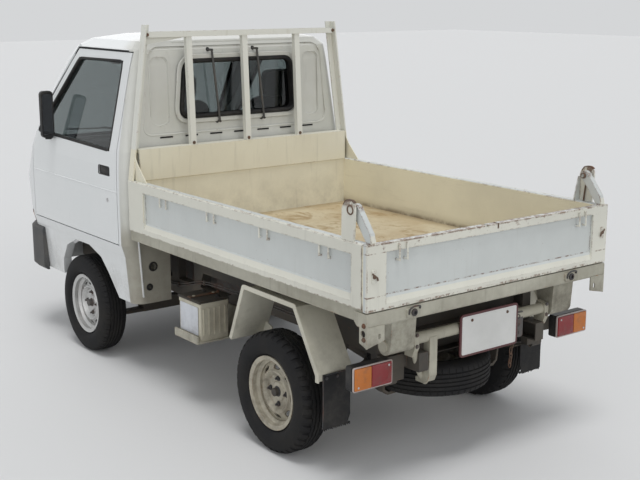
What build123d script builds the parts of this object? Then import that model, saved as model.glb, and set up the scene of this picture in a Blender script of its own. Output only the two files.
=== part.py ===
from build123d import *
import math
import os

os.makedirs("parts", exist_ok=True)

# Row axes: +X is the vehicle's left, -Y is forwards, the wheels stand on z = 0. Sizes in mm.

# Whole vehicle
WHEELBASE = 1820
FRONT_OVERHANG = 772.5
REAR_OVERHANG = 702.5
FRONT_AXLE_Y = -875
REAR_AXLE_Y = FRONT_AXLE_Y + WHEELBASE
VEHICLE_FRONT_Y = FRONT_AXLE_Y - FRONT_OVERHANG
VEHICLE_REAR_Y = REAR_AXLE_Y + REAR_OVERHANG
TRACK_HALF = 605
TYRE_RADIUS = 272
HUB_Z = TYRE_RADIUS

# Cab shell
CAB_BOTTOM = 392
CAB_WALL = 50
CAB_REAR_Y = -275
CAB_REAR_RADIUS = 60
CAB_INSIDE_LOW = CAB_BOTTOM - 20
ROOF_START = 1690
ROOF_DROP_SHARE = 0.7
ROOF_SPLIT_Z = 1690
DOOR_SPLIT_Y = -1422
BACK_SPLIT_Y = CAB_REAR_Y - 70
FLOOR_TOP = 690
FLOOR_THICK = 40
FLOOR_UNDER = FLOOR_TOP - FLOOR_THICK
# height, half width, front face, front corner radius, rear face's lean forward
CAB_SECTIONS = [
    (CAB_BOTTOM, 655, -1560, 150, 0),
    (640, 676, -1585, 160, 0),
    (704, 696, -1595, 170, 0),
    (929, 697, -1636, 180, 0),
    (1100, 694, -1555, 165, 0),
    (1190, 688, -1494, 155, 0),
    (1410, 651, -1335, 130, 4),
    (1620, 617, -1129, 120, 9),
    (1700, 602, -1030, 115, 15),
    (1740, 557, -945, 110, 43),
    (1764, 430, -820, 100, 115),
    (1772, 300, -700, 95, 185),
]
# Front wheel arch in side view: y from the axle, z
ARCH_OUTLINE = [
    (-275, 300),
    (-275, 400),
    (-261, 480),
    (-185, 578),
    (-60, 632),
    (110, 632),
    (240, 588),
    (309, 517),
    (405, 392),
    (435, 300),
]
ARCH_REACH = 760

# Doors
DOOR_GAP = 6
DOOR_TAPER = 0.15
DOOR_REFERENCE_X = 697
DOOR_NEAR_X = 480
DOOR_FAR_X = 730
DOOR_BOTTOM = 704
DOOR_TOP = ROOF_SPLIT_Z - DOOR_GAP
DOOR_FRONT_Y = DOOR_SPLIT_Y + DOOR_GAP
DOOR_PILLAR_FOOT_Z = 1200
DOOR_PILLAR_TOP_Y = -921
DOOR_REAR_LOW_Y = -374
DOOR_REAR_TOP_Y = -313
DOOR_REAR_BEND_Z = 1190
# y, z of the window opening in the door
DOOR_WINDOW = [(-1352, 1203), (-912, 1640), (-405, 1643), (-453, 1180)]
DOOR_GLASS_DEPTH = 16
GLASS_THICK = 5
HANDLE_Y = -513
HANDLE_Z = 1078
HANDLE_LENGTH = 130
HANDLE_HEIGHT = 48
HANDLE_DEPTH = 14

# Screens
SCREEN_BOTTOM = 1125
SCREEN_TOP = 1668
SCREEN_LOW_HALF = 622
SCREEN_HIGH_HALF = 528
SCREEN_DEPTH = 8
SEAL_WIDTH = 22
REAR_WINDOW_BOTTOM = 1340
REAR_WINDOW_TOP = 1646
REAR_WINDOW_LOW_HALF = 372
REAR_WINDOW_HIGH_HALF = 345
REAR_WINDOW_RADIUS = 55

# Pressings of the cab's back: depths, then outlines by half width and height
BACK_PRESS_DEPTH = 6
BACK_PRESS_LOW_HALF = 585
BACK_PRESS_HIGH_HALF = 540
BACK_PRESS_LOW = 1268
BACK_PRESS_HIGH = 1712
BACK_PRESS_RADIUS = 70
OVAL_X = 478
OVAL_WIDTH = 108
OVAL_LOW = 1314
OVAL_HIGH = 1662
VENT_Z = 1254
VENT_LENGTH = 77
VENT_HEIGHT = 9
VENT_PITCH = 150
VENT_COUNT = 7
REAR_LEG_IN = 450

# Cab inside
RISER_Y = -1010
RISER_TOP = 860
RISER_SHEET = 20
SEAT_X = 330
SEAT_WIDTH = 460
SEAT_CUSHION = 120
SEAT_FRONT_Y = -985
DRIVER_X = -330
STEER_HUB_Y = -1175
STEER_HUB_Z = 1120
STEER_RIM_RADIUS = 180
STEER_RIM_THICK = 12
STEER_BOSS_RADIUS = 42
STEER_BOSS_DEPTH = 36
COLUMN_RADIUS = 24
COLUMN_TILT = 33
COLUMN_CLEARANCE = 0.3
SHROUD_START = 48
SHROUD_WIDTH = 92
SHROUD_DEPTH = 112
SHROUD_LENGTH = 230

# Lamps and grille let into the front panel
HEADLAMP_IN = 395
HEADLAMP_OUT = 590
HEADLAMP_LOW = 735
HEADLAMP_HIGH = 870
LAMP_DEPTH = 40
GRILLE_HALF = 385
GRILLE_LOW = 750
GRILLE_HIGH = 855
GRILLE_SLOTS = 4
GRILLE_FRAME = 20
INDICATOR_IN = 610
INDICATOR_REAR_Y = -1450
INDICATOR_LOW = 652
INDICATOR_HIGH = 722

# Front bumper
BUMPER_HALF = 692
BUMPER_LOW = 376
BUMPER_HIGH = 635
BUMPER_LENGTH = 302.5
BUMPER_CORNER = 190
BUMPER_SLOT_HALF = 330
BUMPER_SLOT_LOW = 430
BUMPER_SLOT_HIGH = 490
BUMPER_SLOT_DEPTH = 30

# Wheels and hubs
BEAD_RADIUS = 152
RIM_FLANGE = 166
HUB_BORE_RADIUS = 19
STUB_RADIUS = 18.5
STUB_LENGTH = 80
KINGPIN_X = 565
KINGPIN_RADIUS = 20
PIVOT_RADIUS = 8
PIVOT_HOLE_RADIUS = 8.6
PIVOT_LENGTH = 16
KNUCKLE_LOW = 194
KNUCKLE_HIGH = 369
TYRE_HALF = 72.5
DRUM_RADIUS = 95
DRUM_X = TRACK_HALF - 45
SLOT_RADIUS = 112

# Ladder frame
RAIL_X = 345
RAIL_WIDTH = 50
RAIL_SHEET = 5
FRONT_RAIL_LOW = 400
REAR_RAIL_LOW = 480
RAIL_HEIGHT = 80
FRAME_FRONT_Y = VEHICLE_FRONT_Y + 147.5
FRAME_REAR_Y = VEHICLE_REAR_Y - 69.5
RAIL_IN = RAIL_X - RAIL_WIDTH / 2
RAIL_OUT = RAIL_X + RAIL_WIDTH / 2
REAR_RAIL_TOP = REAR_RAIL_LOW + RAIL_HEIGHT
CROSS_DEPTH = 50
CROSS_HEIGHT = 60

# Engine, gearbox and shaft
ENGINE_HALF = 210
ENGINE_FRONT_Y = -900
ENGINE_REAR_Y = -400
ENGINE_LOW = 310
ENGINE_HIGH = 750
ENGINE_BAY_GAP = 20
GEARBOX_REAR_Y = -90
GEARBOX_Z = 420
SHAFT_RADIUS = 30
PINION_REACH = 110
PINION_Y = REAR_AXLE_Y - PINION_REACH
AXLE_TUBE_RADIUS = 32
DIFF_RADIUS = 85

# Leaf springs
SPRING_X = 435
SPRING_WIDTH = 50
LEAF_THICK = 8
LEAF_RISE = 0.000348
LEAF_BITE = 0.4
# half length of each leaf, from the lowest
LEAF_HALVES = [230, 330, 430, 525]
SPRING_FRONT_Y = REAR_AXLE_Y - LEAF_HALVES[-1]

# Tipping bed
HOOK_REACH = 11.5
BED_FRONT_Y = CAB_REAR_Y + 27
BED_REAR_Y = VEHICLE_REAR_Y - HOOK_REACH
BED_HALF = 695
BED_INNER_HALF = 652
FLOOR_SHEET_TOP = 810
FLOOR_SHEET = 6
SILL_TOP = FLOOR_SHEET_TOP - FLOOR_SHEET
SILL_BOTTOM = 752
SILL_OUT = 688
RAIL_TOP = 1059
RAIL_DEPTH = 47
LEDGE_TOP = 860
LEDGE_LOW = 828
PANEL_IN = 680
FRONT_STILE = 152
REAR_STILE = 62
GATE_THICK = 30
GATE_GAP = 5
GATE_LOW = 798
SIDE_REAR_Y = BED_REAR_Y - GATE_THICK - GATE_GAP
ROPE_HOOK_RADIUS = 4
ROPE_HOOK_LOW = 968
ROPE_HOOK_HALF = 30

# Headboard
HEADBOARD_DEPTH = 50
HEADBOARD_HIGH_DEPTH = 58
HEADBOARD_FLANGE = 20
HEADBOARD_FOLD = 1055
HEADBOARD_TOP = 1215
HEADBOARD_SHEET = 12
POST_WIDTH = 38
POST_DEPTH = 45
POST_SHEET = 8
POST_FOOT_X = BED_HALF - 3
POST_TOP_X = 589
POST_TOP_Z = 1824
TOP_BAR_LOW = 1762
TOP_BAR_HEIGHT = 28
BAR_X = 338
BAR_TOP_SET = 5
BAR_WIDTH = 32
BAR_DEPTH = 26
BAR_SHEET = 6
GUSSET_LENGTH = 110

# Gate pins on their horns
GATE_PIN_Y = BED_REAR_Y - 105
GATE_PIN_Z = 1180
GATE_PIN_RADIUS = 9
GATE_PIN_CLEARANCE = 0.6
HORN_X = 685
HORN_SHEET = 8
ARM_X = 650
ARM_THICK = 24
ARM_EYE_RADIUS = 21

# Tilt shaft at the tail
TILT_Y = BED_REAR_Y - 86
TILT_Z = 616
TILT_SHAFT_RADIUS = 24
TILT_CLEARANCE = 0.5
TILT_SHAFT_HALF = 540
LUG_X = 405
LUG_WIDTH = 128
LUG_RADIUS = 38

# Hoist
SUBFRAME_TOP = 690
SUBFRAME_FRONT_Y = -170
SUBFRAME_REAR_Y = BED_REAR_Y - 141
BARREL_PIN_Y = TILT_Y - 1370
BARREL_PIN_Z = 540
BARREL_PIN_RADIUS = 12
BARREL_PIN_CLEARANCE = 0.6
BARREL_RADIUS = 36
ROD_EYE_Y = TILT_Y - 550
ROD_EYE_Z = 690
ROD_RADIUS = 20
ROD_CLEARANCE = 1

# Rear fenders
FENDER_TOP = 712
FENDER_FOOT_Z = 684
FENDER_IN = 500
FENDER_OUT = 690
FENDER_SHEET = 5
FENDER_RETURN = 20
# y from the axle, z along the plate
FENDER_LINE = [(-264, 455), (-157, FENDER_TOP), (208, FENDER_TOP - 4), (361, 458), (361, 430)]
FLAP_THICK = 7

# Spare wheel
SPARE_X = 60
SPARE_Y = REAR_AXLE_Y + 355
SPARE_Z = 385

# Tail lamps and plate
LAMP_X = 590
LAMP_Y = BED_REAR_Y - 107
LAMP_Z = 505
LAMP_LENGTH = 200
LAMP_HEIGHT = 100
LAMP_THICK = 50
PLATE_X = -24
PLATE_Z = 588
PLATE_LENGTH = 322
PLATE_HEIGHT = 165
PLATE_THICK = 6
PLATE_Y = TILT_Y + TILT_SHAFT_RADIUS + 4

# Mirrors
MIRROR_X = 735
MIRROR_Y = -1110
MIRROR_LOW = 1190
MIRROR_HIGH = 1449
MIRROR_WIDTH = 72
MIRROR_DEPTH = 38

FAR = 3000
SIDES = (1, -1)


def cab_form(inset, low):
    """The cab's outside shape, drawn in by inset and starting at the height low."""
    with BuildPart() as form:
        for height, half_width, front_y, corner_radius, lean in CAB_SECTIONS:
            rear_y = CAB_REAR_Y - lean
            level = height
            if height >= ROOF_START:
                level = height - ROOF_DROP_SHARE * inset
            if height == CAB_BOTTOM:
                level = low
            with BuildSketch(Plane.XY.offset(level)):
                with Locations((0, (rear_y + front_y) / 2)):
                    Rectangle(2 * (half_width - inset), rear_y - front_y - 2 * inset)
                fillet(vertices().group_by(Axis.Y)[0], corner_radius - inset)
                fillet(vertices().group_by(Axis.Y)[-1], CAB_REAR_RADIUS * (1 - inset / 100))
        loft(ruled=True)
    return form.part


def side_prism(outline, near_x, far_x):
    """A prism through a y, z outline from near_x to far_x."""
    with BuildPart() as prism:
        with BuildSketch(Plane.YZ.offset(near_x)):
            with BuildLine():
                Polyline(*outline, close=True)
            make_face()
        extrude(amount=far_x - near_x)
    return prism.part


def front_prism(outline, near_y, far_y, radius=0):
    """A prism through an x, z outline from near_y back to far_y, its corners rounded by radius."""
    with BuildPart() as prism:
        with BuildSketch(Plane.XZ.offset(-near_y)):
            with BuildLine():
                Polyline(*outline, close=True)
            make_face()
            if radius:
                fillet(vertices(), radius)
        extrude(amount=near_y - far_y)
    return prism.part


def door_prism(side, grow):
    """The door's outline as a tapered prism, grown by grow all round, on the side given by +1 or -1."""
    with BuildPart() as prism:
        for plane_x in (DOOR_NEAR_X, DOOR_FAR_X):
            shift = DOOR_TAPER * (plane_x - DOOR_REFERENCE_X)
            outline = [
                (DOOR_FRONT_Y, DOOR_BOTTOM),
                (DOOR_FRONT_Y, DOOR_PILLAR_FOOT_Z),
                (DOOR_PILLAR_TOP_Y, DOOR_TOP),
                (DOOR_REAR_TOP_Y + shift, DOOR_TOP),
                (DOOR_REAR_LOW_Y + shift, DOOR_REAR_BEND_Z),
                (DOOR_REAR_LOW_Y + shift, DOOR_BOTTOM),
            ]
            with BuildSketch(Plane.YZ.offset(side * plane_x)):
                with BuildLine():
                    Polyline(*outline, close=True)
                make_face()
                if grow:
                    offset(amount=grow, kind=Kind.INTERSECTION)
        loft(ruled=True)
    return prism.part


def slab(x_range, y_range, z_range):
    """A plain block between two limits on each axis, used to part one panel from the next."""
    spans = [(low + high) / 2 for low, high in (x_range, y_range, z_range)]
    sizes = [high - low for low, high in (x_range, y_range, z_range)]
    return Pos(*spans) * Box(*sizes)


def trapezoid(low_half, high_half, low, high):
    """The x, z corners of an upright trapezoid about the middle plane."""
    return [(-low_half, low), (low_half, low), (high_half, high), (-high_half, high)]


def shaft_on(plane, radius, length):
    """A round bar from a plane along its normal."""
    with BuildPart() as bar:
        with BuildSketch(plane):
            Circle(radius)
        extrude(amount=length)
    return bar.part


def bent_rod(points, radius):
    """A round rod along straight runs between the points, mitred at the bends."""
    start = Vector(*points[0])
    with BuildPart() as rod:
        with BuildLine() as run:
            Polyline(*points)
        with BuildSketch(Plane(origin=start, z_dir=Vector(*points[1]) - start)):
            Circle(radius)
        sweep(path=run.line, transition=Transition.RIGHT)
    return rod.part


def turned(profile, centre_x, centre_y, side):
    """A wheel piece turned about its hub from a table of offsets and radii."""
    with BuildPart() as ring:
        with BuildSketch(Plane.XZ.offset(-centre_y)):
            with BuildLine():
                Polyline(*[(centre_x + side * dx, HUB_Z + radius) for dx, radius in profile], close=True)
            make_face()
        revolve(axis=Axis((0, centre_y, HUB_Z), (1, 0, 0)), revolution_arc=360)
    return ring.part


def laid(profile):
    """A spare wheel piece turned about its upright axis from the same kind of table."""
    with BuildPart() as ring:
        with BuildSketch(Plane.XZ.offset(-SPARE_Y)):
            with BuildLine():
                Polyline(*[(SPARE_X + radius, SPARE_Z + dz) for dz, radius in profile], close=True)
            make_face()
        revolve(axis=Axis((SPARE_X, SPARE_Y, 0), (0, 0, 1)), revolution_arc=360)
    return ring.part


def open_bar(centre_y, low, height, half_length):
    """A crossmember of open channel section, open to the rear, lying along x."""
    half = CROSS_DEPTH / 2
    section = [
        (centre_y - half, low),
        (centre_y + half, low),
        (centre_y + half, low + RAIL_SHEET),
        (centre_y - half + RAIL_SHEET, low + RAIL_SHEET),
        (centre_y - half + RAIL_SHEET, low + height - RAIL_SHEET),
        (centre_y + half, low + height - RAIL_SHEET),
        (centre_y + half, low + height),
        (centre_y - half, low + height),
    ]
    return side_prism(section, -half_length, half_length)


# Cab shell with its openings
cab_outer = cab_form(0, CAB_BOTTOM)
cab_inner = cab_form(CAB_WALL, CAB_INSIDE_LOW)
cab_wall = cab_outer - cab_inner
arch_outline = [(FRONT_AXLE_Y + along, height) for along, height in ARCH_OUTLINE]
cab_wall = cab_wall - side_prism(arch_outline, -ARCH_REACH, ARCH_REACH)
screen_outline = trapezoid(SCREEN_LOW_HALF, SCREEN_HIGH_HALF, SCREEN_BOTTOM, SCREEN_TOP)
screen_prism = front_prism(screen_outline, -1700, -960)
cab_wall = cab_wall - screen_prism
rear_outline = trapezoid(REAR_WINDOW_LOW_HALF, REAR_WINDOW_HIGH_HALF, REAR_WINDOW_BOTTOM, REAR_WINDOW_TOP)


def rear_window_prism(grow):
    """The rear window's rounded outline, grown by grow, as a prism through the back panel."""
    with BuildPart() as prism:
        with BuildSketch(Plane.XZ.offset(-BACK_SPLIT_Y)):
            with BuildLine():
                Polyline(*rear_outline, close=True)
            make_face()
            fillet(vertices(), REAR_WINDOW_RADIUS)
            if grow:
                offset(amount=grow, kind=Kind.ARC)
        extrude(amount=BACK_SPLIT_Y)
    return prism.part


cab_wall = cab_wall - rear_window_prism(0)

# Pressings in the cab's back: one broad panel, an upright oval each side, air slots below
press_form = cab_form(BACK_PRESS_DEPTH, CAB_INSIDE_LOW)
deep_form = cab_form(2 * BACK_PRESS_DEPTH, CAB_INSIDE_LOW)
press_outline = trapezoid(BACK_PRESS_LOW_HALF, BACK_PRESS_HIGH_HALF, BACK_PRESS_LOW, BACK_PRESS_HIGH)
press_prism = front_prism(press_outline, BACK_SPLIT_Y, 0, BACK_PRESS_RADIUS)
cab_wall = cab_wall - ((cab_outer - press_form) & press_prism)
with BuildPart() as ovals:
    with BuildSketch(Plane.XZ.offset(-BACK_SPLIT_Y)):
        with Locations((-OVAL_X, (OVAL_LOW + OVAL_HIGH) / 2), (OVAL_X, (OVAL_LOW + OVAL_HIGH) / 2)):
            RectangleRounded(OVAL_WIDTH, OVAL_HIGH - OVAL_LOW, OVAL_WIDTH / 3)
    extrude(amount=BACK_SPLIT_Y)
cab_wall = cab_wall - ((press_form - deep_form) & ovals.part)
with BuildPart() as vents:
    with BuildSketch(Plane.XZ.offset(-CAB_REAR_Y - BACK_PRESS_DEPTH)):
        with Locations((0, VENT_Z)):
            with GridLocations(VENT_PITCH, 0, VENT_COUNT, 1):
                RectangleRounded(VENT_LENGTH, VENT_HEIGHT, VENT_HEIGHT / 3)
    extrude(amount=2 * BACK_PRESS_DEPTH, both=True)
cab_wall = cab_wall - vents.part

# Below its floor the cab is open at the back between two leg plates, each with two holes
cab_wall = cab_wall - slab((-REAR_LEG_IN, REAR_LEG_IN), (BACK_SPLIT_Y, 0), (0, FLOOR_UNDER))
# x, z, radius
LEG_HOLES = [(553, 586, 18), (577, 479, 11)]
with BuildPart() as leg_holes:
    with BuildSketch(Plane.XZ.offset(-BACK_SPLIT_Y)):
        for hole_x, hole_z, hole_radius in LEG_HOLES:
            with Locations((hole_x, hole_z), (-hole_x, hole_z)):
                Circle(hole_radius)
    extrude(amount=BACK_SPLIT_Y)
cab_wall = cab_wall - leg_holes.part

# Doors, their glass and their openings
door_parts = {}
glass_parts = {}
glass_outer = cab_form(DOOR_GLASS_DEPTH, CAB_BOTTOM)
door_layer = glass_outer - cab_form(DOOR_GLASS_DEPTH + GLASS_THICK, CAB_INSIDE_LOW)
for side in SIDES:
    window = side_prism(DOOR_WINDOW, side * DOOR_NEAR_X, side * DOOR_FAR_X)
    leaf = cab_wall & door_prism(side, 0)
    with BuildPart() as handle_recess:
        with BuildSketch(Plane.YZ.offset(side * (DOOR_REFERENCE_X - 3 - HANDLE_DEPTH))):
            with Locations((HANDLE_Y, HANDLE_Z)):
                RectangleRounded(HANDLE_LENGTH, HANDLE_HEIGHT, HANDLE_HEIGHT / 4)
        extrude(amount=side * 2 * HANDLE_DEPTH)
    door_parts[side] = leaf - window - handle_recess.part
    glass_parts[side] = door_layer & window
    cab_wall = cab_wall - door_prism(side, DOOR_GAP)

# Lamps, indicators and grille let into the front panel
lamp_layer = cab_outer - cab_form(LAMP_DEPTH, CAB_INSIDE_LOW)
lamps = {}
indicators = {}
for side in SIDES:
    lamp_span = sorted((side * HEADLAMP_IN, side * HEADLAMP_OUT))
    lamps[side] = lamp_layer & slab(lamp_span, (-FAR, DOOR_SPLIT_Y), (HEADLAMP_LOW, HEADLAMP_HIGH))
    cab_wall = cab_wall - lamps[side]
    lamp_span = sorted((side * INDICATOR_IN, side * DOOR_FAR_X))
    indicators[side] = lamp_layer & slab(lamp_span, (-FAR, INDICATOR_REAR_Y), (INDICATOR_LOW, INDICATOR_HIGH))
    cab_wall = cab_wall - indicators[side]
grille_block = lamp_layer & slab((-GRILLE_HALF, GRILLE_HALF), (-FAR, DOOR_SPLIT_Y), (GRILLE_LOW, GRILLE_HIGH))
cab_wall = cab_wall - grille_block
slot_pitch = (GRILLE_HIGH - GRILLE_LOW) / GRILLE_SLOTS
with BuildPart() as grille_slots:
    with BuildSketch(Plane.XZ.offset(-VEHICLE_FRONT_Y)):
        with Locations((0, (GRILLE_LOW + GRILLE_HIGH) / 2)):
            with GridLocations(0, slot_pitch, 1, GRILLE_SLOTS):
                SlotOverall(2 * (GRILLE_HALF - GRILLE_FRAME), slot_pitch / 2)
    extrude(amount=-LAMP_DEPTH - GRILLE_FRAME)
grille = grille_block - grille_slots.part
grille.label = "grille"
headlamps = Compound(label="headlamps", children=[*lamps[1].solids(), *lamps[-1].solids()])
front_indicators = Compound(
    label="front_indicators", children=[*indicators[1].solids(), *indicators[-1].solids()]
)

# Cab panels, split where the real ones meet
front_zone = slab((-FAR, FAR), (-FAR, DOOR_SPLIT_Y), (0, SCREEN_BOTTOM))
roof_zone = slab((-FAR, FAR), (-FAR, FAR), (ROOF_SPLIT_Z, FAR))
back_zone = slab((-FAR, FAR), (BACK_SPLIT_Y, FAR), (0, ROOF_SPLIT_Z))
cab_front_panel = cab_wall & front_zone
cab_front_panel.label = "cab_front_panel"
cab_roof = cab_wall & roof_zone
cab_roof.label = "cab_roof"
cab_back_panel = cab_wall & back_zone
cab_back_panel.label = "cab_back_panel"
cab_sides = cab_wall - front_zone - roof_zone - back_zone
cab_sides.label = "cab_sides"

# Floor stepped up under the seats and open over the engine
step_outline = [
    (-FAR, FLOOR_UNDER),
    (0, FLOOR_UNDER),
    (0, FLOOR_TOP),
    (RISER_Y + RISER_SHEET, FLOOR_TOP),
    (RISER_Y + RISER_SHEET, RISER_TOP - RISER_SHEET),
    (0, RISER_TOP - RISER_SHEET),
    (0, RISER_TOP),
    (RISER_Y, RISER_TOP),
    (RISER_Y, FLOOR_TOP),
    (-FAR, FLOOR_TOP),
]
engine_bay = slab(
    (-ENGINE_HALF - ENGINE_BAY_GAP, ENGINE_HALF + ENGINE_BAY_GAP),
    (ENGINE_FRONT_Y - ENGINE_BAY_GAP, ENGINE_REAR_Y + ENGINE_BAY_GAP),
    (0, FLOOR_TOP + FLOOR_THICK),
)
cab_floor = (side_prism(step_outline, -FAR, FAR) - engine_bay) & cab_inner
cab_floor.label = "cab_floor"

# Windscreen and rear glass in its rubber
screen_layer = cab_form(SCREEN_DEPTH, CAB_BOTTOM) - cab_form(SCREEN_DEPTH + GLASS_THICK, CAB_INSIDE_LOW)
windscreen = screen_layer & screen_prism
SEAL_FRONT_Y = CAB_REAR_Y - 37
SEAL_REAR_Y = CAB_REAR_Y + 1
GLASS_FRONT_Y = CAB_REAR_Y - 32
rear_band = slab((-FAR, FAR), (GLASS_FRONT_Y, GLASS_FRONT_Y + GLASS_THICK), (0, FAR))
rear_window = rear_band & rear_window_prism(-SEAL_WIDTH / 2)
seal_band = slab((-FAR, FAR), (SEAL_FRONT_Y, SEAL_REAR_Y), (0, FAR))
rear_window_seal = (seal_band & rear_window_prism(0)) - rear_window_prism(-SEAL_WIDTH) - rear_window
rear_window_seal.label = "rear_window_seal"
cab_glass = Compound(label="cab_glass", children=[*windscreen.solids(), *rear_window.solids()])

# Two guard rods standing off the rear window on bent ends
GUARD_RADIUS = 6
GUARD_STAND_OFF = 20
GUARD_TOP_Z = 1690
GUARD_FOOT_Z = 1318
# x at the top, x at the foot
GUARD_RODS = [(181, 138), (-100, -144)]
guard_y = CAB_REAR_Y + GUARD_STAND_OFF
with BuildPart() as window_guards:
    for top_x, foot_x in GUARD_RODS:
        rod_line = [
            (top_x, CAB_REAR_Y - 35, GUARD_TOP_Z),
            (top_x, guard_y, GUARD_TOP_Z),
            (foot_x, guard_y, GUARD_FOOT_Z),
            (foot_x, CAB_REAR_Y - 30, GUARD_FOOT_Z),
        ]
        add(bent_rod(rod_line, GUARD_RADIUS))
window_guards = window_guards.part - press_form
window_guards.label = "window_guards"

# Front bumper: a rounded bar wrapping the corners, with an air slot
bumper_rear_y = VEHICLE_FRONT_Y + BUMPER_LENGTH
with BuildPart() as bumper_form:
    with BuildSketch(Plane.XY.offset(BUMPER_LOW)):
        with Locations((0, (VEHICLE_FRONT_Y + bumper_rear_y) / 2)):
            Rectangle(2 * BUMPER_HALF, bumper_rear_y - VEHICLE_FRONT_Y)
        fillet(vertices().group_by(Axis.Y)[0], BUMPER_CORNER)
    extrude(amount=BUMPER_HIGH - BUMPER_LOW)
    chamfer(faces().sort_by(Axis.Z)[-1].edges().filter_by_position(Axis.Y, -FAR, bumper_rear_y - 1), 14)
    chamfer(faces().sort_by(Axis.Z)[0].edges().filter_by_position(Axis.Y, -FAR, bumper_rear_y - 1), 22)
    with BuildSketch(Plane.XZ.offset(-VEHICLE_FRONT_Y)):
        with Locations((0, (BUMPER_SLOT_LOW + BUMPER_SLOT_HIGH) / 2)):
            RectangleRounded(2 * BUMPER_SLOT_HALF, BUMPER_SLOT_HIGH - BUMPER_SLOT_LOW, 20)
    extrude(amount=-BUMPER_SLOT_DEPTH, mode=Mode.SUBTRACT)
front_bumper = bumper_form.part - cab_form(0, CAB_BOTTOM - 60)
front_bumper.label = "front_bumper"

# Dashboard with the steering column, and the steering wheel
DASH_OUTLINE = [
    (-1620, 880),
    (-1385, 880),
    (-1365, 905),
    (-1325, 985),
    (-1325, 1075),
    (-1350, 1108),
    (-1620, 1120),
]
HOOD_OUTLINE = [(-1500, 1100), (-1338, 1100), (-1318, 1128), (-1326, 1140), (-1440, 1142)]
HOOD_HALF = 175
column_normal = (0, math.sin(math.radians(COLUMN_TILT)), math.cos(math.radians(COLUMN_TILT)))
column_plane = Plane(origin=(DRIVER_X, STEER_HUB_Y, STEER_HUB_Z), x_dir=(1, 0, 0), z_dir=column_normal)
boss_foot = COLUMN_CLEARANCE - STEER_BOSS_DEPTH + 6
column = shaft_on(column_plane.offset(boss_foot - COLUMN_CLEARANCE), COLUMN_RADIUS, -640)
dash_body = side_prism(DASH_OUTLINE, -600, 600)
dash_body = dash_body + side_prism(HOOD_OUTLINE, DRIVER_X - HOOD_HALF, DRIVER_X + HOOD_HALF)
with BuildPart() as shroud:
    with BuildSketch(column_plane.offset(-SHROUD_START)):
        RectangleRounded(SHROUD_WIDTH, SHROUD_DEPTH, 16)
    extrude(amount=-SHROUD_LENGTH)
dash_body = dash_body + shroud.part + (column & slab((-FAR, FAR), (-FAR, FAR), (FLOOR_TOP, FAR)))
dashboard = dash_body & cab_inner
dashboard.label = "dashboard"

with BuildPart() as steering_wheel:
    with BuildSketch(Plane(column_plane.origin + column_plane.x_dir * STEER_RIM_RADIUS,
                           x_dir=column_plane.x_dir, z_dir=-column_plane.y_dir)):
        Circle(STEER_RIM_THICK)
    revolve(axis=Axis(column_plane.origin, column_plane.z_dir), revolution_arc=360)
    with BuildSketch(column_plane.offset(boss_foot)):
        Circle(STEER_BOSS_RADIUS)
    extrude(amount=STEER_BOSS_DEPTH, taper=8)
    with BuildSketch(column_plane.offset(-6)):
        with PolarLocations(STEER_RIM_RADIUS / 2, 3, start_angle=90):
            Trapezoid(STEER_RIM_RADIUS, 52, 84, rotation=0)
    extrude(amount=10)
steering_wheel.part.label = "steering_wheel"

# Seats: cushion, back and head pad of one side profile each
CUSHION_LINE = [
    (SEAT_FRONT_Y, RISER_TOP),
    (SEAT_FRONT_Y + 500, RISER_TOP),
    (SEAT_FRONT_Y + 500, RISER_TOP + SEAT_CUSHION - 20),
    (SEAT_FRONT_Y + 60, RISER_TOP + SEAT_CUSHION),
    (SEAT_FRONT_Y, RISER_TOP + SEAT_CUSHION - 35),
]
BACK_LINE = [(-560, 940), (-452, 925), (-345, 1380), (-356, 1420), (-408, 1422), (-438, 1395), (-530, 1040)]
HEAD_LINE = [(-415, 1415), (-352, 1415), (-336, 1480), (-348, 1560), (-390, 1566), (-420, 1500)]
HEAD_WIDTH = 230
with BuildPart() as seats:
    for side in SIDES:
        # outline, width, corner radius
        for outline, width, radius in [
            (CUSHION_LINE, SEAT_WIDTH, 18),
            (BACK_LINE, SEAT_WIDTH - 20, 14),
            (HEAD_LINE, HEAD_WIDTH, 16),
        ]:
            with BuildSketch(Plane.YZ.offset(side * SEAT_X - width / 2)):
                with BuildLine():
                    Polyline(*outline, close=True)
                make_face()
                fillet(vertices(), radius)
            extrude(amount=width)
seats.part.label = "seats"

# Ladder frame: two open channel rails with a kick-up, crossmembers, cab mounts, lamp and spare carriers
KICK_END_Y = SPRING_FRONT_Y - 70
KICK_START_Y = KICK_END_Y - 200
RAIL_OUTLINE = [
    (FRAME_FRONT_Y, FRONT_RAIL_LOW),
    (KICK_START_Y, FRONT_RAIL_LOW),
    (KICK_END_Y, REAR_RAIL_LOW),
    (FRAME_REAR_Y, REAR_RAIL_LOW),
    (FRAME_REAR_Y, REAR_RAIL_TOP),
    (KICK_END_Y - 20, REAR_RAIL_TOP),
    (KICK_START_Y - 20, FRONT_RAIL_LOW + RAIL_HEIGHT),
    (FRAME_FRONT_Y, FRONT_RAIL_LOW + RAIL_HEIGHT),
]
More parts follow.
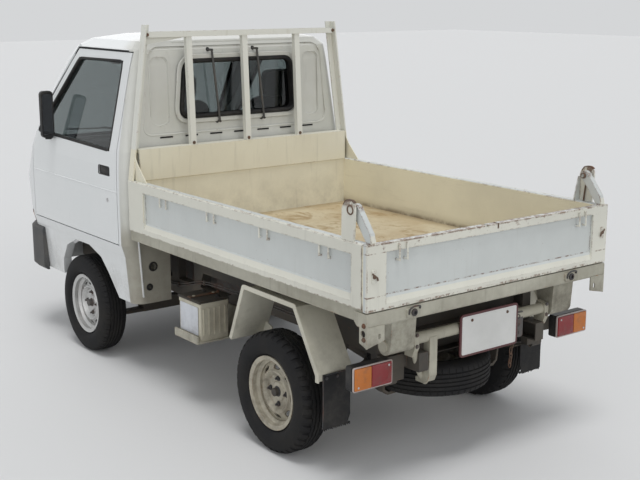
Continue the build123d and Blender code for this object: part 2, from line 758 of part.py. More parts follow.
# y, height of the underside
FRONT_CROSSES = [(FRAME_FRONT_Y + 32, 405), (FRONT_AXLE_Y - 245, 405), (KICK_START_Y + 100, 447)]
REAR_CROSSES = [(REAR_AXLE_Y - 245, 485), (REAR_AXLE_Y + 235, 485), (REAR_AXLE_Y + 475, 485)]
CAB_MOUNT_YS = [DOOR_SPLIT_Y + 22, BACK_SPLIT_Y - 25]
SPARE_BAR_TOP = SPARE_Z - TYRE_HALF
SPARE_BAR_LOW = SPARE_BAR_TOP - 12
LAMP_BRACKET_Y = LAMP_Y - LAMP_THICK / 2 - 4
with BuildPart() as ladder_frame:
    for side in SIDES:
        with BuildSketch(Plane.YZ.offset(side * RAIL_OUT)):
            with BuildLine():
                Polyline(*RAIL_OUTLINE, close=True)
            make_face()
        extrude(amount=-side * RAIL_WIDTH)
        with BuildSketch(Plane.YZ.offset(side * (RAIL_OUT - RAIL_SHEET))):
            with BuildLine():
                Polyline(*RAIL_OUTLINE, close=True)
            make_face()
            offset(amount=-RAIL_SHEET, kind=Kind.INTERSECTION)
        extrude(amount=-side * RAIL_WIDTH, mode=Mode.SUBTRACT)
    for cross_y, cross_low in FRONT_CROSSES + REAR_CROSSES:
        add(open_bar(cross_y, cross_low, CROSS_HEIGHT, RAIL_OUT - RAIL_SHEET))
    for side in SIDES:
        for mount_y in CAB_MOUNT_YS:
            with BuildSketch(Plane.XY.offset(FRONT_RAIL_LOW + RAIL_HEIGHT - RAIL_SHEET)):
                with Locations((side * RAIL_X, mount_y)):
                    RectangleRounded(RAIL_WIDTH, 70, 8)
            extrude(amount=FLOOR_UNDER - FRONT_RAIL_LOW - RAIL_HEIGHT + RAIL_SHEET)
        # lamp bracket: a plate stepping down outside the rail
        bracket_outline = [
            (side * RAIL_OUT, 545),
            (side * (RAIL_OUT + 30), 545),
            (side * (LAMP_X + 80), LAMP_Z + 40),
            (side * (LAMP_X + 80), LAMP_Z - 20),
            (side * (LAMP_X - 80), LAMP_Z - 20),
            (side * RAIL_OUT, 490),
        ]
        add(front_prism(bracket_outline, LAMP_BRACKET_Y - 4, LAMP_BRACKET_Y + 4))
    hanger = [
        (-RAIL_OUT, REAR_RAIL_LOW + 20),
        (-RAIL_X, SPARE_BAR_LOW + 20),
        (-RAIL_IN, SPARE_BAR_LOW),
        (RAIL_IN, SPARE_BAR_LOW),
        (RAIL_X, SPARE_BAR_LOW + 20),
        (RAIL_OUT, REAR_RAIL_LOW + 20),
        (RAIL_OUT - 12, REAR_RAIL_LOW + 20),
        (RAIL_X - 10, SPARE_BAR_TOP + 14),
        (RAIL_IN - 6, SPARE_BAR_TOP),
        (6 - RAIL_IN, SPARE_BAR_TOP),
        (10 - RAIL_X, SPARE_BAR_TOP + 14),
        (12 - RAIL_OUT, REAR_RAIL_LOW + 20),
    ]
    add(front_prism(hanger, SPARE_Y - 30, SPARE_Y + 30))
ladder_frame.part.label = "ladder_frame"

# Engine as one plain block at its real place, gearbox with its shaft
with BuildPart() as engine:
    with Locations((0, (ENGINE_FRONT_Y + ENGINE_REAR_Y) / 2, (ENGINE_LOW + ENGINE_HIGH) / 2)):
        Box(2 * ENGINE_HALF, ENGINE_REAR_Y - ENGINE_FRONT_Y, ENGINE_HIGH - ENGINE_LOW)
engine.part.label = "engine"
# y, radius of the gearbox casing
GEARBOX_STEPS = [
    (ENGINE_REAR_Y, 0),
    (ENGINE_REAR_Y, 130),
    (ENGINE_REAR_Y + 70, 130),
    (ENGINE_REAR_Y + 130, 95),
    (ENGINE_REAR_Y + 250, 80),
    (GEARBOX_REAR_Y, 50),
    (GEARBOX_REAR_Y, 0),
]
with BuildPart() as gearbox:
    with BuildSketch(Plane.YZ):
        with BuildLine():
            Polyline(*[(along, GEARBOX_Z + radius) for along, radius in GEARBOX_STEPS], close=True)
        make_face()
    revolve(axis=Axis((0, 0, GEARBOX_Z), (0, 1, 0)), revolution_arc=360)
gearbox.part.label = "gearbox"
shaft_run = PINION_Y - GEARBOX_REAR_Y
shaft_fall = GEARBOX_Z - HUB_Z - 10
shaft_plane = Plane(origin=(0, GEARBOX_REAR_Y - 40, GEARBOX_Z + 40 * shaft_fall / shaft_run), x_dir=(1, 0, 0),
                    z_dir=(0, shaft_run, -shaft_fall))
shaft_band = slab((-FAR, FAR), (GEARBOX_REAR_Y, PINION_Y), (0, FAR))
propeller_shaft = shaft_on(shaft_plane, SHAFT_RADIUS, shaft_run + 120) & shaft_band
propeller_shaft.label = "propeller_shaft"

# Rear axle: one casing turned about its centre line, with the pinion nose and the drums
# x, radius over one half
AXLE_STEPS = [
    (40, DIFF_RADIUS),
    (75, DIFF_RADIUS - 12),
    (110, 45),
    (150, AXLE_TUBE_RADIUS),
    (DRUM_X, AXLE_TUBE_RADIUS),
    (DRUM_X, DRUM_RADIUS),
    (DRUM_X + 40, DRUM_RADIUS),
    (DRUM_X + 40, STUB_RADIUS),
    (DRUM_X + STUB_LENGTH + 5, STUB_RADIUS),
]
with BuildPart() as rear_axle:
    with BuildSketch(Plane.XZ.offset(-REAR_AXLE_Y)):
        with BuildLine():
            Polyline(
                *[(-along, HUB_Z + radius) for along, radius in reversed(AXLE_STEPS)],
                *[(along, HUB_Z + radius) for along, radius in AXLE_STEPS],
                (AXLE_STEPS[-1][0], HUB_Z),
                (-AXLE_STEPS[-1][0], HUB_Z),
                close=True,
            )
        make_face()
    revolve(axis=Axis((0, REAR_AXLE_Y, HUB_Z), (1, 0, 0)), revolution_arc=360)
    with BuildSketch(Plane.XZ.offset(-PINION_Y)):
        with Locations((0, HUB_Z + 10)):
            Circle(45)
    extrude(amount=-PINION_REACH, taper=-6)
rear_axle.part.label = "rear_axle"

# Leaf springs, four leaves a side, with a front hanger and a rear shackle
spring_foot = HUB_Z + AXLE_TUBE_RADIUS
with BuildPart() as leaf_springs:
    for side in SIDES:
        for index, half in enumerate(LEAF_HALVES):
            level = spring_foot + index * LEAF_THICK
            rise = LEAF_RISE * half * half
            top = level + LEAF_THICK + LEAF_BITE
            front_y = REAR_AXLE_Y - half
            rear_y = REAR_AXLE_Y + half
            with BuildSketch(Plane.YZ.offset(side * SPRING_X - SPRING_WIDTH / 2)):
                with BuildLine():
                    ThreePointArc((front_y, level + rise), (REAR_AXLE_Y, level), (rear_y, level + rise))
                    Line((rear_y, level + rise), (rear_y, top + rise))
                    ThreePointArc((rear_y, top + rise), (REAR_AXLE_Y, top), (front_y, top + rise))
                    Line((front_y, top + rise), (front_y, level + rise))
                make_face()
            extrude(amount=SPRING_WIDTH)
        eye_z = spring_foot + (len(LEAF_HALVES) - 0.5) * LEAF_THICK + LEAF_RISE * LEAF_HALVES[-1] ** 2
        for eye_y, lean in [(REAR_AXLE_Y - LEAF_HALVES[-1], -12), (REAR_AXLE_Y + LEAF_HALVES[-1], -14)]:
            with BuildSketch(Plane.YZ.offset(side * SPRING_X - SPRING_WIDTH / 2 - 4)):
                with Locations((eye_y, eye_z)):
                    Circle(17)
            extrude(amount=SPRING_WIDTH + 8)
            near, far = sorted((side * RAIL_OUT, side * (SPRING_X + SPRING_WIDTH / 2 + 4)))
            with BuildSketch(Plane.YZ.offset(near)):
                with BuildLine():
                    Polyline(
                        (eye_y + lean - 34, REAR_RAIL_LOW + 52),
                        (eye_y + lean + 34, REAR_RAIL_LOW + 52),
                        (eye_y + 17, eye_z),
                        (eye_y - 17, eye_z),
                        close=True,
                    )
                make_face()
            extrude(amount=far - near)
leaf_springs.part.label = "leaf_springs"

# Front suspension: crossmember, lower arms, spring struts
ARM_Z = 180
ARM_SHEET = 18
ARM_ROOT_X = 290
STRUT_X = 482
TOP_ARM_Z = KNUCKLE_HIGH + 5
# radius, z up the strut from its foot bracket to the floor
STRUT_STEPS = [
    (19, TOP_ARM_Z + 9),
    (19, 430),
    (30, 434),
    (30, 440),
    (12, 442),
    (12, 552),
    (34, 556),
    (42, 575),
    (42, FLOOR_UNDER),
]
with BuildPart() as front_suspension:
    beam_outline = [
        (-RAIL_OUT, FRONT_RAIL_LOW),
        (-RAIL_IN, FRONT_RAIL_LOW),
        (50 - RAIL_IN, ARM_Z + 55),
        (RAIL_IN - 50, ARM_Z + 55),
        (RAIL_IN, FRONT_RAIL_LOW),
        (RAIL_OUT, FRONT_RAIL_LOW),
        (RAIL_IN - 10, ARM_Z - 10),
        (10 - RAIL_IN, ARM_Z - 10),
    ]
    add(front_prism(beam_outline, FRONT_AXLE_Y - 35, FRONT_AXLE_Y + 35))
    for side in SIDES:
        with BuildSketch(Plane.XY.offset(ARM_Z - ARM_SHEET / 2)):
            with BuildLine():
                Polyline(
                    (side * ARM_ROOT_X, FRONT_AXLE_Y - 34),
                    (side * KINGPIN_X, FRONT_AXLE_Y - 22),
                    (side * KINGPIN_X, FRONT_AXLE_Y + 22),
                    (side * ARM_ROOT_X, FRONT_AXLE_Y + 34),
                    close=True,
                )
            make_face()
            with Locations((side * KINGPIN_X, FRONT_AXLE_Y)):
                Circle(22)
        extrude(amount=ARM_SHEET)
        with BuildSketch(Plane.XY.offset(ARM_Z + ARM_SHEET / 2)):
            with Locations((side * KINGPIN_X, FRONT_AXLE_Y)):
                Circle(PIVOT_RADIUS)
        extrude(amount=PIVOT_LENGTH)
        with BuildSketch(Plane.XY.offset(TOP_ARM_Z)):
            with Locations((side * (STRUT_X - 17 + KINGPIN_X) / 2, FRONT_AXLE_Y)):
                Rectangle(KINGPIN_X - STRUT_X + 17, 36)
            with Locations((side * KINGPIN_X, FRONT_AXLE_Y)):
                Circle(18)
        extrude(amount=ARM_SHEET)
        with BuildSketch(Plane.XY.offset(TOP_ARM_Z)):
            with Locations((side * KINGPIN_X, FRONT_AXLE_Y)):
                Circle(PIVOT_RADIUS)
        extrude(amount=-PIVOT_LENGTH)
        with BuildSketch(Plane.XZ.offset(-FRONT_AXLE_Y)):
            with BuildLine():
                Polyline(
                    (side * STRUT_X, STRUT_STEPS[0][1]),
                    *[(side * (STRUT_X + radius), level) for radius, level in STRUT_STEPS],
                    (side * STRUT_X, STRUT_STEPS[-1][1]),
                    close=True,
                )
            make_face()
        revolve(axis=Axis((side * STRUT_X, FRONT_AXLE_Y, 0), (0, 0, 1)), revolution_arc=360)
front_suspension.part.label = "front_suspension"

# Steering knuckles with their stub axles
KNUCKLE_PLATE_X = KINGPIN_X + 14
KNUCKLE_PLATE = 8
knuckles = {}
for side in SIDES:
    with BuildPart() as knuckle:
        with BuildSketch(Plane.XY.offset(KNUCKLE_LOW)):
            with Locations((side * KINGPIN_X, FRONT_AXLE_Y)):
                Circle(KINGPIN_RADIUS)
        extrude(amount=KNUCKLE_HIGH - KNUCKLE_LOW)
        with BuildSketch(Plane.YZ.offset(side * KINGPIN_X)):
            with Locations((FRONT_AXLE_Y, HUB_Z)):
                Circle(STUB_RADIUS)
        extrude(amount=side * STUB_LENGTH)
        with BuildSketch(Plane.YZ.offset(side * KNUCKLE_PLATE_X)):
            with Locations((FRONT_AXLE_Y, HUB_Z)):
                Circle(76)
        extrude(amount=side * KNUCKLE_PLATE)
        with BuildSketch(Plane.XY.offset(KNUCKLE_LOW)):
            with Locations((side * KINGPIN_X, FRONT_AXLE_Y)):
                Circle(PIVOT_HOLE_RADIUS)
        extrude(amount=PIVOT_LENGTH, mode=Mode.SUBTRACT)
        with BuildSketch(Plane.XY.offset(KNUCKLE_HIGH)):
            with Locations((side * KINGPIN_X, FRONT_AXLE_Y)):
                Circle(PIVOT_HOLE_RADIUS)
        extrude(amount=-PIVOT_LENGTH, mode=Mode.SUBTRACT)
    knuckles[side] = knuckle.part
knuckles[1].label = "knuckle_left"
knuckles[-1].label = "knuckle_right"

# Wheels: a pressed steel rim with a raised ring and slots, and a tyre; tread is left to the visual
# offset from the wheel's middle plane towards the outside, radius
RIM_BARREL = [
    (-58, RIM_FLANGE), (-50, RIM_FLANGE), (-49, BEAD_RADIUS), (-30, BEAD_RADIUS), (-16, 138), (18, 138),
    (30, BEAD_RADIUS), (49, BEAD_RADIUS), (50, RIM_FLANGE), (58, RIM_FLANGE), (55, 160), (53, 147), (32, 147),
    (21, 133), (-19, 133), (-32, 147), (-53, 147), (-55, 160),
]
RIM_DISC = [
    (4, 134), (12, 134), (15, 124), (27, 101), (33, 95), (33, 90), (27, 84), (14, 74), (12, 46), (19, 40),
    (19, HUB_BORE_RADIUS), (6, HUB_BORE_RADIUS), (6, 76), (20, 88), (20, 98), (8, 122),
]
TYRE_PROFILE = [
    (-48, BEAD_RADIUS), (-47, 168), (-62, 178), (-TYRE_HALF, 205), (-70, 238), (-58, 264), (-40, TYRE_RADIUS),
    (40, TYRE_RADIUS), (58, 264), (70, 238), (TYRE_HALF, 205), (62, 178), (47, 168), (48, BEAD_RADIUS),
    (31, BEAD_RADIUS), (52, 200), (50, 252), (-50, 252), (-52, 200), (-31, BEAD_RADIUS),
]
# name, side, axle y, number of slots, slot length, slot width
WHEELS = [
    ("front_left", 1, FRONT_AXLE_Y, 12, 32, 15),
    ("front_right", -1, FRONT_AXLE_Y, 12, 32, 15),
    ("rear_left", 1, REAR_AXLE_Y, 8, 46, 19),
    ("rear_right", -1, REAR_AXLE_Y, 8, 46, 19),
]
rims = {}
tyres = {}
for name, side, axle_y, slot_count, slot_length, slot_width in WHEELS:
    centre_x = side * TRACK_HALF
    with BuildPart() as slots:
        with BuildSketch(Plane.YZ.offset(centre_x)):
            with Locations((axle_y, HUB_Z)):
                with PolarLocations(SLOT_RADIUS, slot_count):
                    SlotOverall(slot_length, slot_width, rotation=90)
        extrude(amount=TYRE_HALF, both=True)
    disc = turned(RIM_DISC, centre_x, axle_y, side) - slots.part
    rims[name] = turned(RIM_BARREL, centre_x, axle_y, side) + disc
    rims[name].label = "rim_" + name
    tyres[name] = turned(TYRE_PROFILE, centre_x, axle_y, side)
    tyres[name].label = "tyre_" + name
spare_tyre = laid(TYRE_PROFILE)
spare_tyre.label = "spare_tyre"
spare_rim = laid(RIM_BARREL) + laid(RIM_DISC)
spare_rim.label = "spare_rim"

# Fuel tank with its straps, battery in its tray, exhaust
TANK_X = -500
TANK_Z = 405
TANK_FRONT_Y = CAB_REAR_Y + 175
TANK_REAR_Y = SPRING_FRONT_Y - 90
TANK_LENGTH = TANK_REAR_Y - TANK_FRONT_Y
TANK_Y = (TANK_FRONT_Y + TANK_REAR_Y) / 2
TANK_CORNER = 35
STRAP_SHEET = 4
TANK_WIDTH = 210
TANK_HEIGHT = 200
with BuildPart() as fuel_tank:
    with BuildSketch(Plane.XZ.offset(-TANK_Y - TANK_LENGTH / 2)):
        with Locations((TANK_X, TANK_Z)):
            RectangleRounded(TANK_WIDTH, TANK_HEIGHT, TANK_CORNER)
    extrude(amount=TANK_LENGTH)
    tank_in_x = TANK_X + TANK_WIDTH / 2 - STRAP_SHEET
    for strap_y in (TANK_Y - 0.3 * TANK_LENGTH, TANK_Y + 0.26 * TANK_LENGTH):
        with BuildSketch(Plane.XZ.offset(-strap_y)):
            with Locations((TANK_X, TANK_Z)):
                RectangleRounded(
                    TANK_WIDTH + 2 * STRAP_SHEET, TANK_HEIGHT + 2 * STRAP_SHEET, TANK_CORNER + STRAP_SHEET
                )
            with Locations(((tank_in_x - RAIL_OUT) / 2, FRONT_RAIL_LOW + 58)):
                Rectangle(-tank_in_x - RAIL_OUT, 34)
        extrude(amount=18, both=True)
fuel_tank.part.label = "fuel_tank"
BATTERY_X = 560
BATTERY_Y = SPRING_FRONT_Y - 186
BATTERY_LOW = 345
BATTERY_HIGH = 535
BATTERY_WIDTH = 160
BATTERY_LENGTH = 195
LID_HEIGHT = 22
POST_RADIUS = 9
with BuildPart() as battery:
    with BuildSketch(Plane.XY.offset(BATTERY_LOW)):
        with Locations((BATTERY_X, BATTERY_Y)):
            RectangleRounded(BATTERY_WIDTH, BATTERY_LENGTH, 8)
    extrude(amount=BATTERY_HIGH - BATTERY_LOW - LID_HEIGHT)
    with BuildSketch(Plane.XY.offset(BATTERY_HIGH - LID_HEIGHT)):
        with Locations((BATTERY_X, BATTERY_Y)):
            RectangleRounded(BATTERY_WIDTH + 6, BATTERY_LENGTH + 6, 10)
    extrude(amount=LID_HEIGHT)
    with BuildSketch(Plane.XY.offset(BATTERY_HIGH)):
        with Locations((BATTERY_X, BATTERY_Y)):
            with GridLocations(BATTERY_WIDTH - 50, BATTERY_LENGTH - 50, 2, 1):
                Circle(POST_RADIUS)
    extrude(amount=16, taper=6)
battery.part.label = "battery"
TRAY_SHEET = 8
TRAY_LIP_X = BATTERY_X + 96
TRAY_HALF = BATTERY_LENGTH / 2 + 10
tray_outline = [
    (RAIL_OUT, FRONT_RAIL_LOW + 55),
    (RAIL_OUT + TRAY_SHEET, FRONT_RAIL_LOW + 55),
    (RAIL_OUT + 60, BATTERY_LOW),
    (TRAY_LIP_X, BATTERY_LOW),
    (TRAY_LIP_X, BATTERY_LOW + 30),
    (TRAY_LIP_X + TRAY_SHEET, BATTERY_LOW + 30),
    (TRAY_LIP_X + TRAY_SHEET, BATTERY_LOW - TRAY_SHEET),
    (RAIL_OUT + 54, BATTERY_LOW - TRAY_SHEET),
    (RAIL_OUT, FRONT_RAIL_LOW - 2),
]
battery_tray = front_prism(tray_outline, BATTERY_Y - TRAY_HALF, BATTERY_Y + TRAY_HALF)
battery_tray.label = "battery_tray"
EXHAUST_X = -200
EXHAUST_Z = 340
SILENCER_RADIUS = 58
SILENCER_HALF = 190
SILENCER_Y = REAR_AXLE_Y - 385
PIPE_RADIUS = 20
with BuildPart() as exhaust:
    with BuildSketch(Plane.XZ.offset(-ENGINE_REAR_Y)):
        with Locations((EXHAUST_X, EXHAUST_Z)):
            Circle(PIPE_RADIUS)
    extrude(amount=ENGINE_REAR_Y - SILENCER_Y)
    with BuildSketch(Plane.XZ.offset(-SILENCER_Y)):
        with Locations((EXHAUST_X, EXHAUST_Z)):
            Circle(SILENCER_RADIUS)
    extrude(amount=SILENCER_HALF, both=True)
    with BuildSketch(Plane.YZ.offset(EXHAUST_X)):
        with Locations((REAR_AXLE_Y - 400, 442)):
            Rectangle(30, 100)
    extrude(amount=-RAIL_IN - EXHAUST_X)
exhaust.part.label = "exhaust"

# Rear fenders: folded plate with a return edge, a foot on the subframe and a stay ahead of the wheel
fender_line = [(REAR_AXLE_Y + along, height) for along, height in FENDER_LINE]
STAY_X = 515
STAY_LINE = [(-266, 458), (-241, 518), (-186, 500), (-216, 405)]
with BuildPart() as rear_fenders:
    for side in SIDES:
        with BuildSketch(Plane.YZ.offset(side * FENDER_IN)):
            with BuildLine():
                plate_line = Polyline(*fender_line)
                offset(plate_line, amount=FENDER_SHEET, side=Side.LEFT)
            make_face()
        extrude(amount=side * (FENDER_OUT - FENDER_IN))
        with BuildSketch(Plane.YZ.offset(side * (FENDER_OUT - FENDER_SHEET))):
            with BuildLine():
                edge_line = Polyline(*fender_line)
                offset(edge_line, amount=-FENDER_RETURN, side=Side.LEFT)
            make_face()
        extrude(amount=side * FENDER_SHEET)
        # inner closing plate up to the subframe, and the foot it stands on
        inner_outline = [
            (REAR_AXLE_Y - 150, FENDER_TOP + 5),
            (REAR_AXLE_Y + 200, FENDER_TOP + 2),
            (REAR_AXLE_Y + 170, FENDER_FOOT_Z - 4),
            (REAR_AXLE_Y - 120, FENDER_FOOT_Z - 4),
        ]
        near, far = sorted((side * FENDER_IN, side * (FENDER_IN + FENDER_SHEET)))
        add(side_prism(inner_outline, near, far))
        with Locations((side * (RAIL_OUT + FENDER_IN + FENDER_SHEET) / 2, REAR_AXLE_Y + 25, FENDER_FOOT_Z)):
            Box(FENDER_IN + FENDER_SHEET - RAIL_OUT, 260, FENDER_SHEET)
        stay_outline = [(REAR_AXLE_Y + along, height) for along, height in STAY_LINE]
        near, far = sorted((side * STAY_X, side * (STAY_X + FENDER_SHEET)))
        add(side_prism(stay_outline, near, far))
rear_fenders.part.label = "rear_fenders"
flap_y = fender_line[-1][0] + FENDER_SHEET
FLAP_LINE = [(515, 455), (655, 455), (655, 219), (530, 224), (515, 260)]
with BuildPart() as mudflaps:
    for side in SIDES:
        with BuildSketch(Plane.XZ.offset(-flap_y)):
            with BuildLine():
                Polyline(*[(side * along, height) for along, height in FLAP_LINE], close=True)
            make_face()
        extrude(amount=-FLAP_THICK)
mudflaps.part.label = "mudflaps"

# Tail: the tilt shaft on its end blocks with a bent drop strut, lamps and plate
BLOCK_X = 384
DROP_X = 290
DROP_WIDTH = 42
DROP_FOOT_Z = 411
with BuildPart() as tilt_shaft:
    add(shaft_on(Plane(origin=(-TILT_SHAFT_HALF, TILT_Y, TILT_Z), z_dir=(1, 0, 0)), TILT_SHAFT_RADIUS,
                 2 * TILT_SHAFT_HALF))
    block_outline = [
        (TILT_Y - 32, 545), (TILT_Y + 12, 545), (TILT_Y + 30, 585), (TILT_Y + 26, 640), (TILT_Y - 20, 648),
        (TILT_Y - 32, 620),
    ]
    for side in SIDES:
        near, far = sorted((side * (BLOCK_X - 12), side * (BLOCK_X + 12)))
        add(side_prism(block_outline, near, far))
        near, far = sorted((side * RAIL_OUT, side * BLOCK_X))
        add(side_prism([(TILT_Y - 32, 545), (TILT_Y, 545), (TILT_Y, 560), (TILT_Y - 32, 585)], near, far))
    # bent bar that drops behind the spare wheel
    drop_outline = [
        (TILT_Y - 10, TILT_Z), (TILT_Y + 26, TILT_Z), (TILT_Y + 26, DROP_FOOT_Z + 39),
        (TILT_Y + 14, DROP_FOOT_Z + 13), (TILT_Y - 12, DROP_FOOT_Z), (TILT_Y - 56, DROP_FOOT_Z),
        (TILT_Y - 56, DROP_FOOT_Z + 19), (TILT_Y - 22, DROP_FOOT_Z + 29), (TILT_Y - 10, DROP_FOOT_Z + 51),
    ]
    add(side_prism(drop_outline, DROP_X - DROP_WIDTH / 2, DROP_X + DROP_WIDTH / 2))
    with Locations((PLATE_X, (TILT_Y + PLATE_Y) / 2, TILT_Z)):
        Box(PLATE_LENGTH / 2, PLATE_Y - TILT_Y, 24)
tilt_shaft.part.label = "tilt_shaft"
LENS_BORDER = 8
LENS_DEPTH = 16
with BuildPart() as tail_lamps:
    for side in SIDES:
        with BuildSketch(Plane.XZ.offset(-LAMP_Y + LAMP_THICK / 2)):
            with Locations((side * LAMP_X, LAMP_Z)):
                Rectangle(LAMP_LENGTH, LAMP_HEIGHT)
            chamfer(vertices(), 6)
        extrude(amount=LENS_DEPTH - LAMP_THICK)
        with BuildSketch(Plane.XZ.offset(-LAMP_Y - LAMP_THICK / 2 + LENS_DEPTH)):
            with Locations((side * LAMP_X, LAMP_Z)):
                Rectangle(LAMP_LENGTH - LENS_BORDER, LAMP_HEIGHT - LENS_BORDER)
            chamfer(vertices(), 6)
        extrude(amount=-LENS_DEPTH, taper=12)
tail_lamps.part.label = "tail_lamps"
with BuildPart() as number_plate:
    with BuildSketch(Plane.XZ.offset(-PLATE_Y)):
        with Locations((PLATE_X, PLATE_Z)):
            RectangleRounded(PLATE_LENGTH, PLATE_HEIGHT, 8)
    extrude(amount=-PLATE_THICK)
number_plate.part.label = "number_plate"

# Hoist subframe: rails on the ladder frame, ends, and the barrel's two tapered cheeks
CHEEK_X = 48
CHEEK_THICK = 14
CHEEK_BEAM_Y = BARREL_PIN_Y - 90
with BuildPart() as hoist_subframe:
    for side in SIDES:
        rail_outline = [
            (SUBFRAME_FRONT_Y, REAR_RAIL_TOP + 40),
            (SUBFRAME_FRONT_Y, FRONT_RAIL_LOW + RAIL_HEIGHT),
            (SUBFRAME_FRONT_Y + 60, FRONT_RAIL_LOW + RAIL_HEIGHT),
            (SUBFRAME_FRONT_Y + 90, REAR_RAIL_TOP),
            (SUBFRAME_REAR_Y, REAR_RAIL_TOP),
            (SUBFRAME_REAR_Y, SUBFRAME_TOP),
            (SUBFRAME_FRONT_Y + 60, SUBFRAME_TOP),
        ]
        near, far = sorted((side * RAIL_IN, side * RAIL_OUT))
        add(side_prism(rail_outline, near, far))
        cheek_outline = [
            (CHEEK_BEAM_Y - 10, BARREL_PIN_Z - 5), (BARREL_PIN_Y - 8, BARREL_PIN_Z - 26),
            (BARREL_PIN_Y + 24, BARREL_PIN_Z - 10), (BARREL_PIN_Y + 24, BARREL_PIN_Z + 18),
            (BARREL_PIN_Y - 10, BARREL_PIN_Z + 44), (CHEEK_BEAM_Y - 10, BARREL_PIN_Z + 60),
        ]
        near, far = sorted((side * (CHEEK_X - CHEEK_THICK / 2), side * (CHEEK_X + CHEEK_THICK / 2)))
        add(side_prism(cheek_outline, near, far))
    add(open_bar(SUBFRAME_FRONT_Y + 85, 615, 70, RAIL_IN))
    add(open_bar(SUBFRAME_REAR_Y - 35, 615, 70, RAIL_IN))
    add(open_bar(CHEEK_BEAM_Y, 562, CROSS_HEIGHT, RAIL_IN))
    with BuildSketch(Plane.YZ.offset(CHEEK_X)):
        with Locations((BARREL_PIN_Y, BARREL_PIN_Z)):
            Circle(BARREL_PIN_RADIUS)
    extrude(amount=-2 * CHEEK_X)
hoist_subframe.part.label = "hoist_subframe"

# Bed floor
with BuildPart() as bed_floor:
    with Locations((0, (BED_FRONT_Y + HEADBOARD_DEPTH + SIDE_REAR_Y) / 2, FLOOR_SHEET_TOP - FLOOR_SHEET / 2)):
        Box(2 * BED_INNER_HALF, SIDE_REAR_Y - BED_FRONT_Y - HEADBOARD_DEPTH, FLOOR_SHEET)
bed_floor.part.label = "bed_floor"

# Bed sides: one rolled profile each, with stiles, rope hooks and the horn that carries the gate's pin
SIDE_BOARD = [
    (BED_INNER_HALF, SILL_TOP),
    (BED_HALF, SILL_TOP),
    (BED_HALF, LEDGE_LOW),
    (PANEL_IN, LEDGE_TOP),
    (PANEL_IN, RAIL_TOP - RAIL_DEPTH),
    (BED_HALF, RAIL_TOP - RAIL_DEPTH),
    (BED_HALF, RAIL_TOP - 4),
    (BED_HALF - 4, RAIL_TOP),
    (BED_INNER_HALF + 4, RAIL_TOP),
    (BED_INNER_HALF, RAIL_TOP - 4),
]
HORN_OUTLINE = [(-54, 0), (-53, 121), (-42, 142), (-20, 156), (8, 156), (25, 142), (27, 118), (21, 0)]
hook_span = SIDE_REAR_Y - BED_FRONT_Y
ROPE_HOOK_YS = [BED_FRONT_Y + share * hook_span for share in (0.183, 0.416, 0.644, 0.871)]
with BuildPart() as bed_sides:
    for side in SIDES:
        with BuildSketch(Plane.XZ.offset(-BED_FRONT_Y)):
            with BuildLine():
                Polyline(*[(side * x, z) for x, z in SIDE_BOARD], close=True)
            make_face()
        extrude(amount=BED_FRONT_Y - SIDE_REAR_Y)
        for stile_y, stile_length in [
            (BED_FRONT_Y + FRONT_STILE / 2, FRONT_STILE),
            (SIDE_REAR_Y - REAR_STILE / 2, REAR_STILE),
        ]:
            with BuildSketch(Plane.YZ.offset(side * PANEL_IN)):
                with Locations((stile_y, (SILL_TOP + RAIL_TOP) / 2)):
                    Rectangle(stile_length, RAIL_TOP - SILL_TOP - 8)
            extrude(amount=side * (BED_HALF - PANEL_IN))
        hook_x = side * (BED_HALF - ROPE_HOOK_RADIUS - 1)
        for hook_y in ROPE_HOOK_YS:
            for leg_y in (hook_y - ROPE_HOOK_HALF, hook_y + ROPE_HOOK_HALF):
                hook_line = [
                    (hook_x, leg_y, RAIL_TOP - RAIL_DEPTH + 6),
                    (hook_x, leg_y, ROPE_HOOK_LOW),
                    (side * (PANEL_IN - 6), leg_y, ROPE_HOOK_LOW),
                ]
                add(bent_rod(hook_line, ROPE_HOOK_RADIUS))
        with BuildSketch(Plane.YZ.offset(side * HORN_X)):
            with BuildLine():
                Polyline(*[(GATE_PIN_Y + along, RAIL_TOP + up) for along, up in HORN_OUTLINE], close=True)
            make_face()
        extrude(amount=side * HORN_SHEET)
        with BuildSketch(Plane.YZ.offset(side * HORN_X)):
            with Locations((GATE_PIN_Y, GATE_PIN_Z)):
                Circle(GATE_PIN_RADIUS)
        extrude(amount=-side * 45)
        web_outline = [
            (side * ARM_X, RAIL_TOP), (side * HORN_X, RAIL_TOP), (side * HORN_X, RAIL_TOP + 110),
            (side * (HORN_X - 12), RAIL_TOP + 110), (side * ARM_X, RAIL_TOP + 20),
        ]
        add(front_prism(web_outline, GATE_PIN_Y - 53, GATE_PIN_Y - 47))
bed_sides.part.label = "bed_sides"

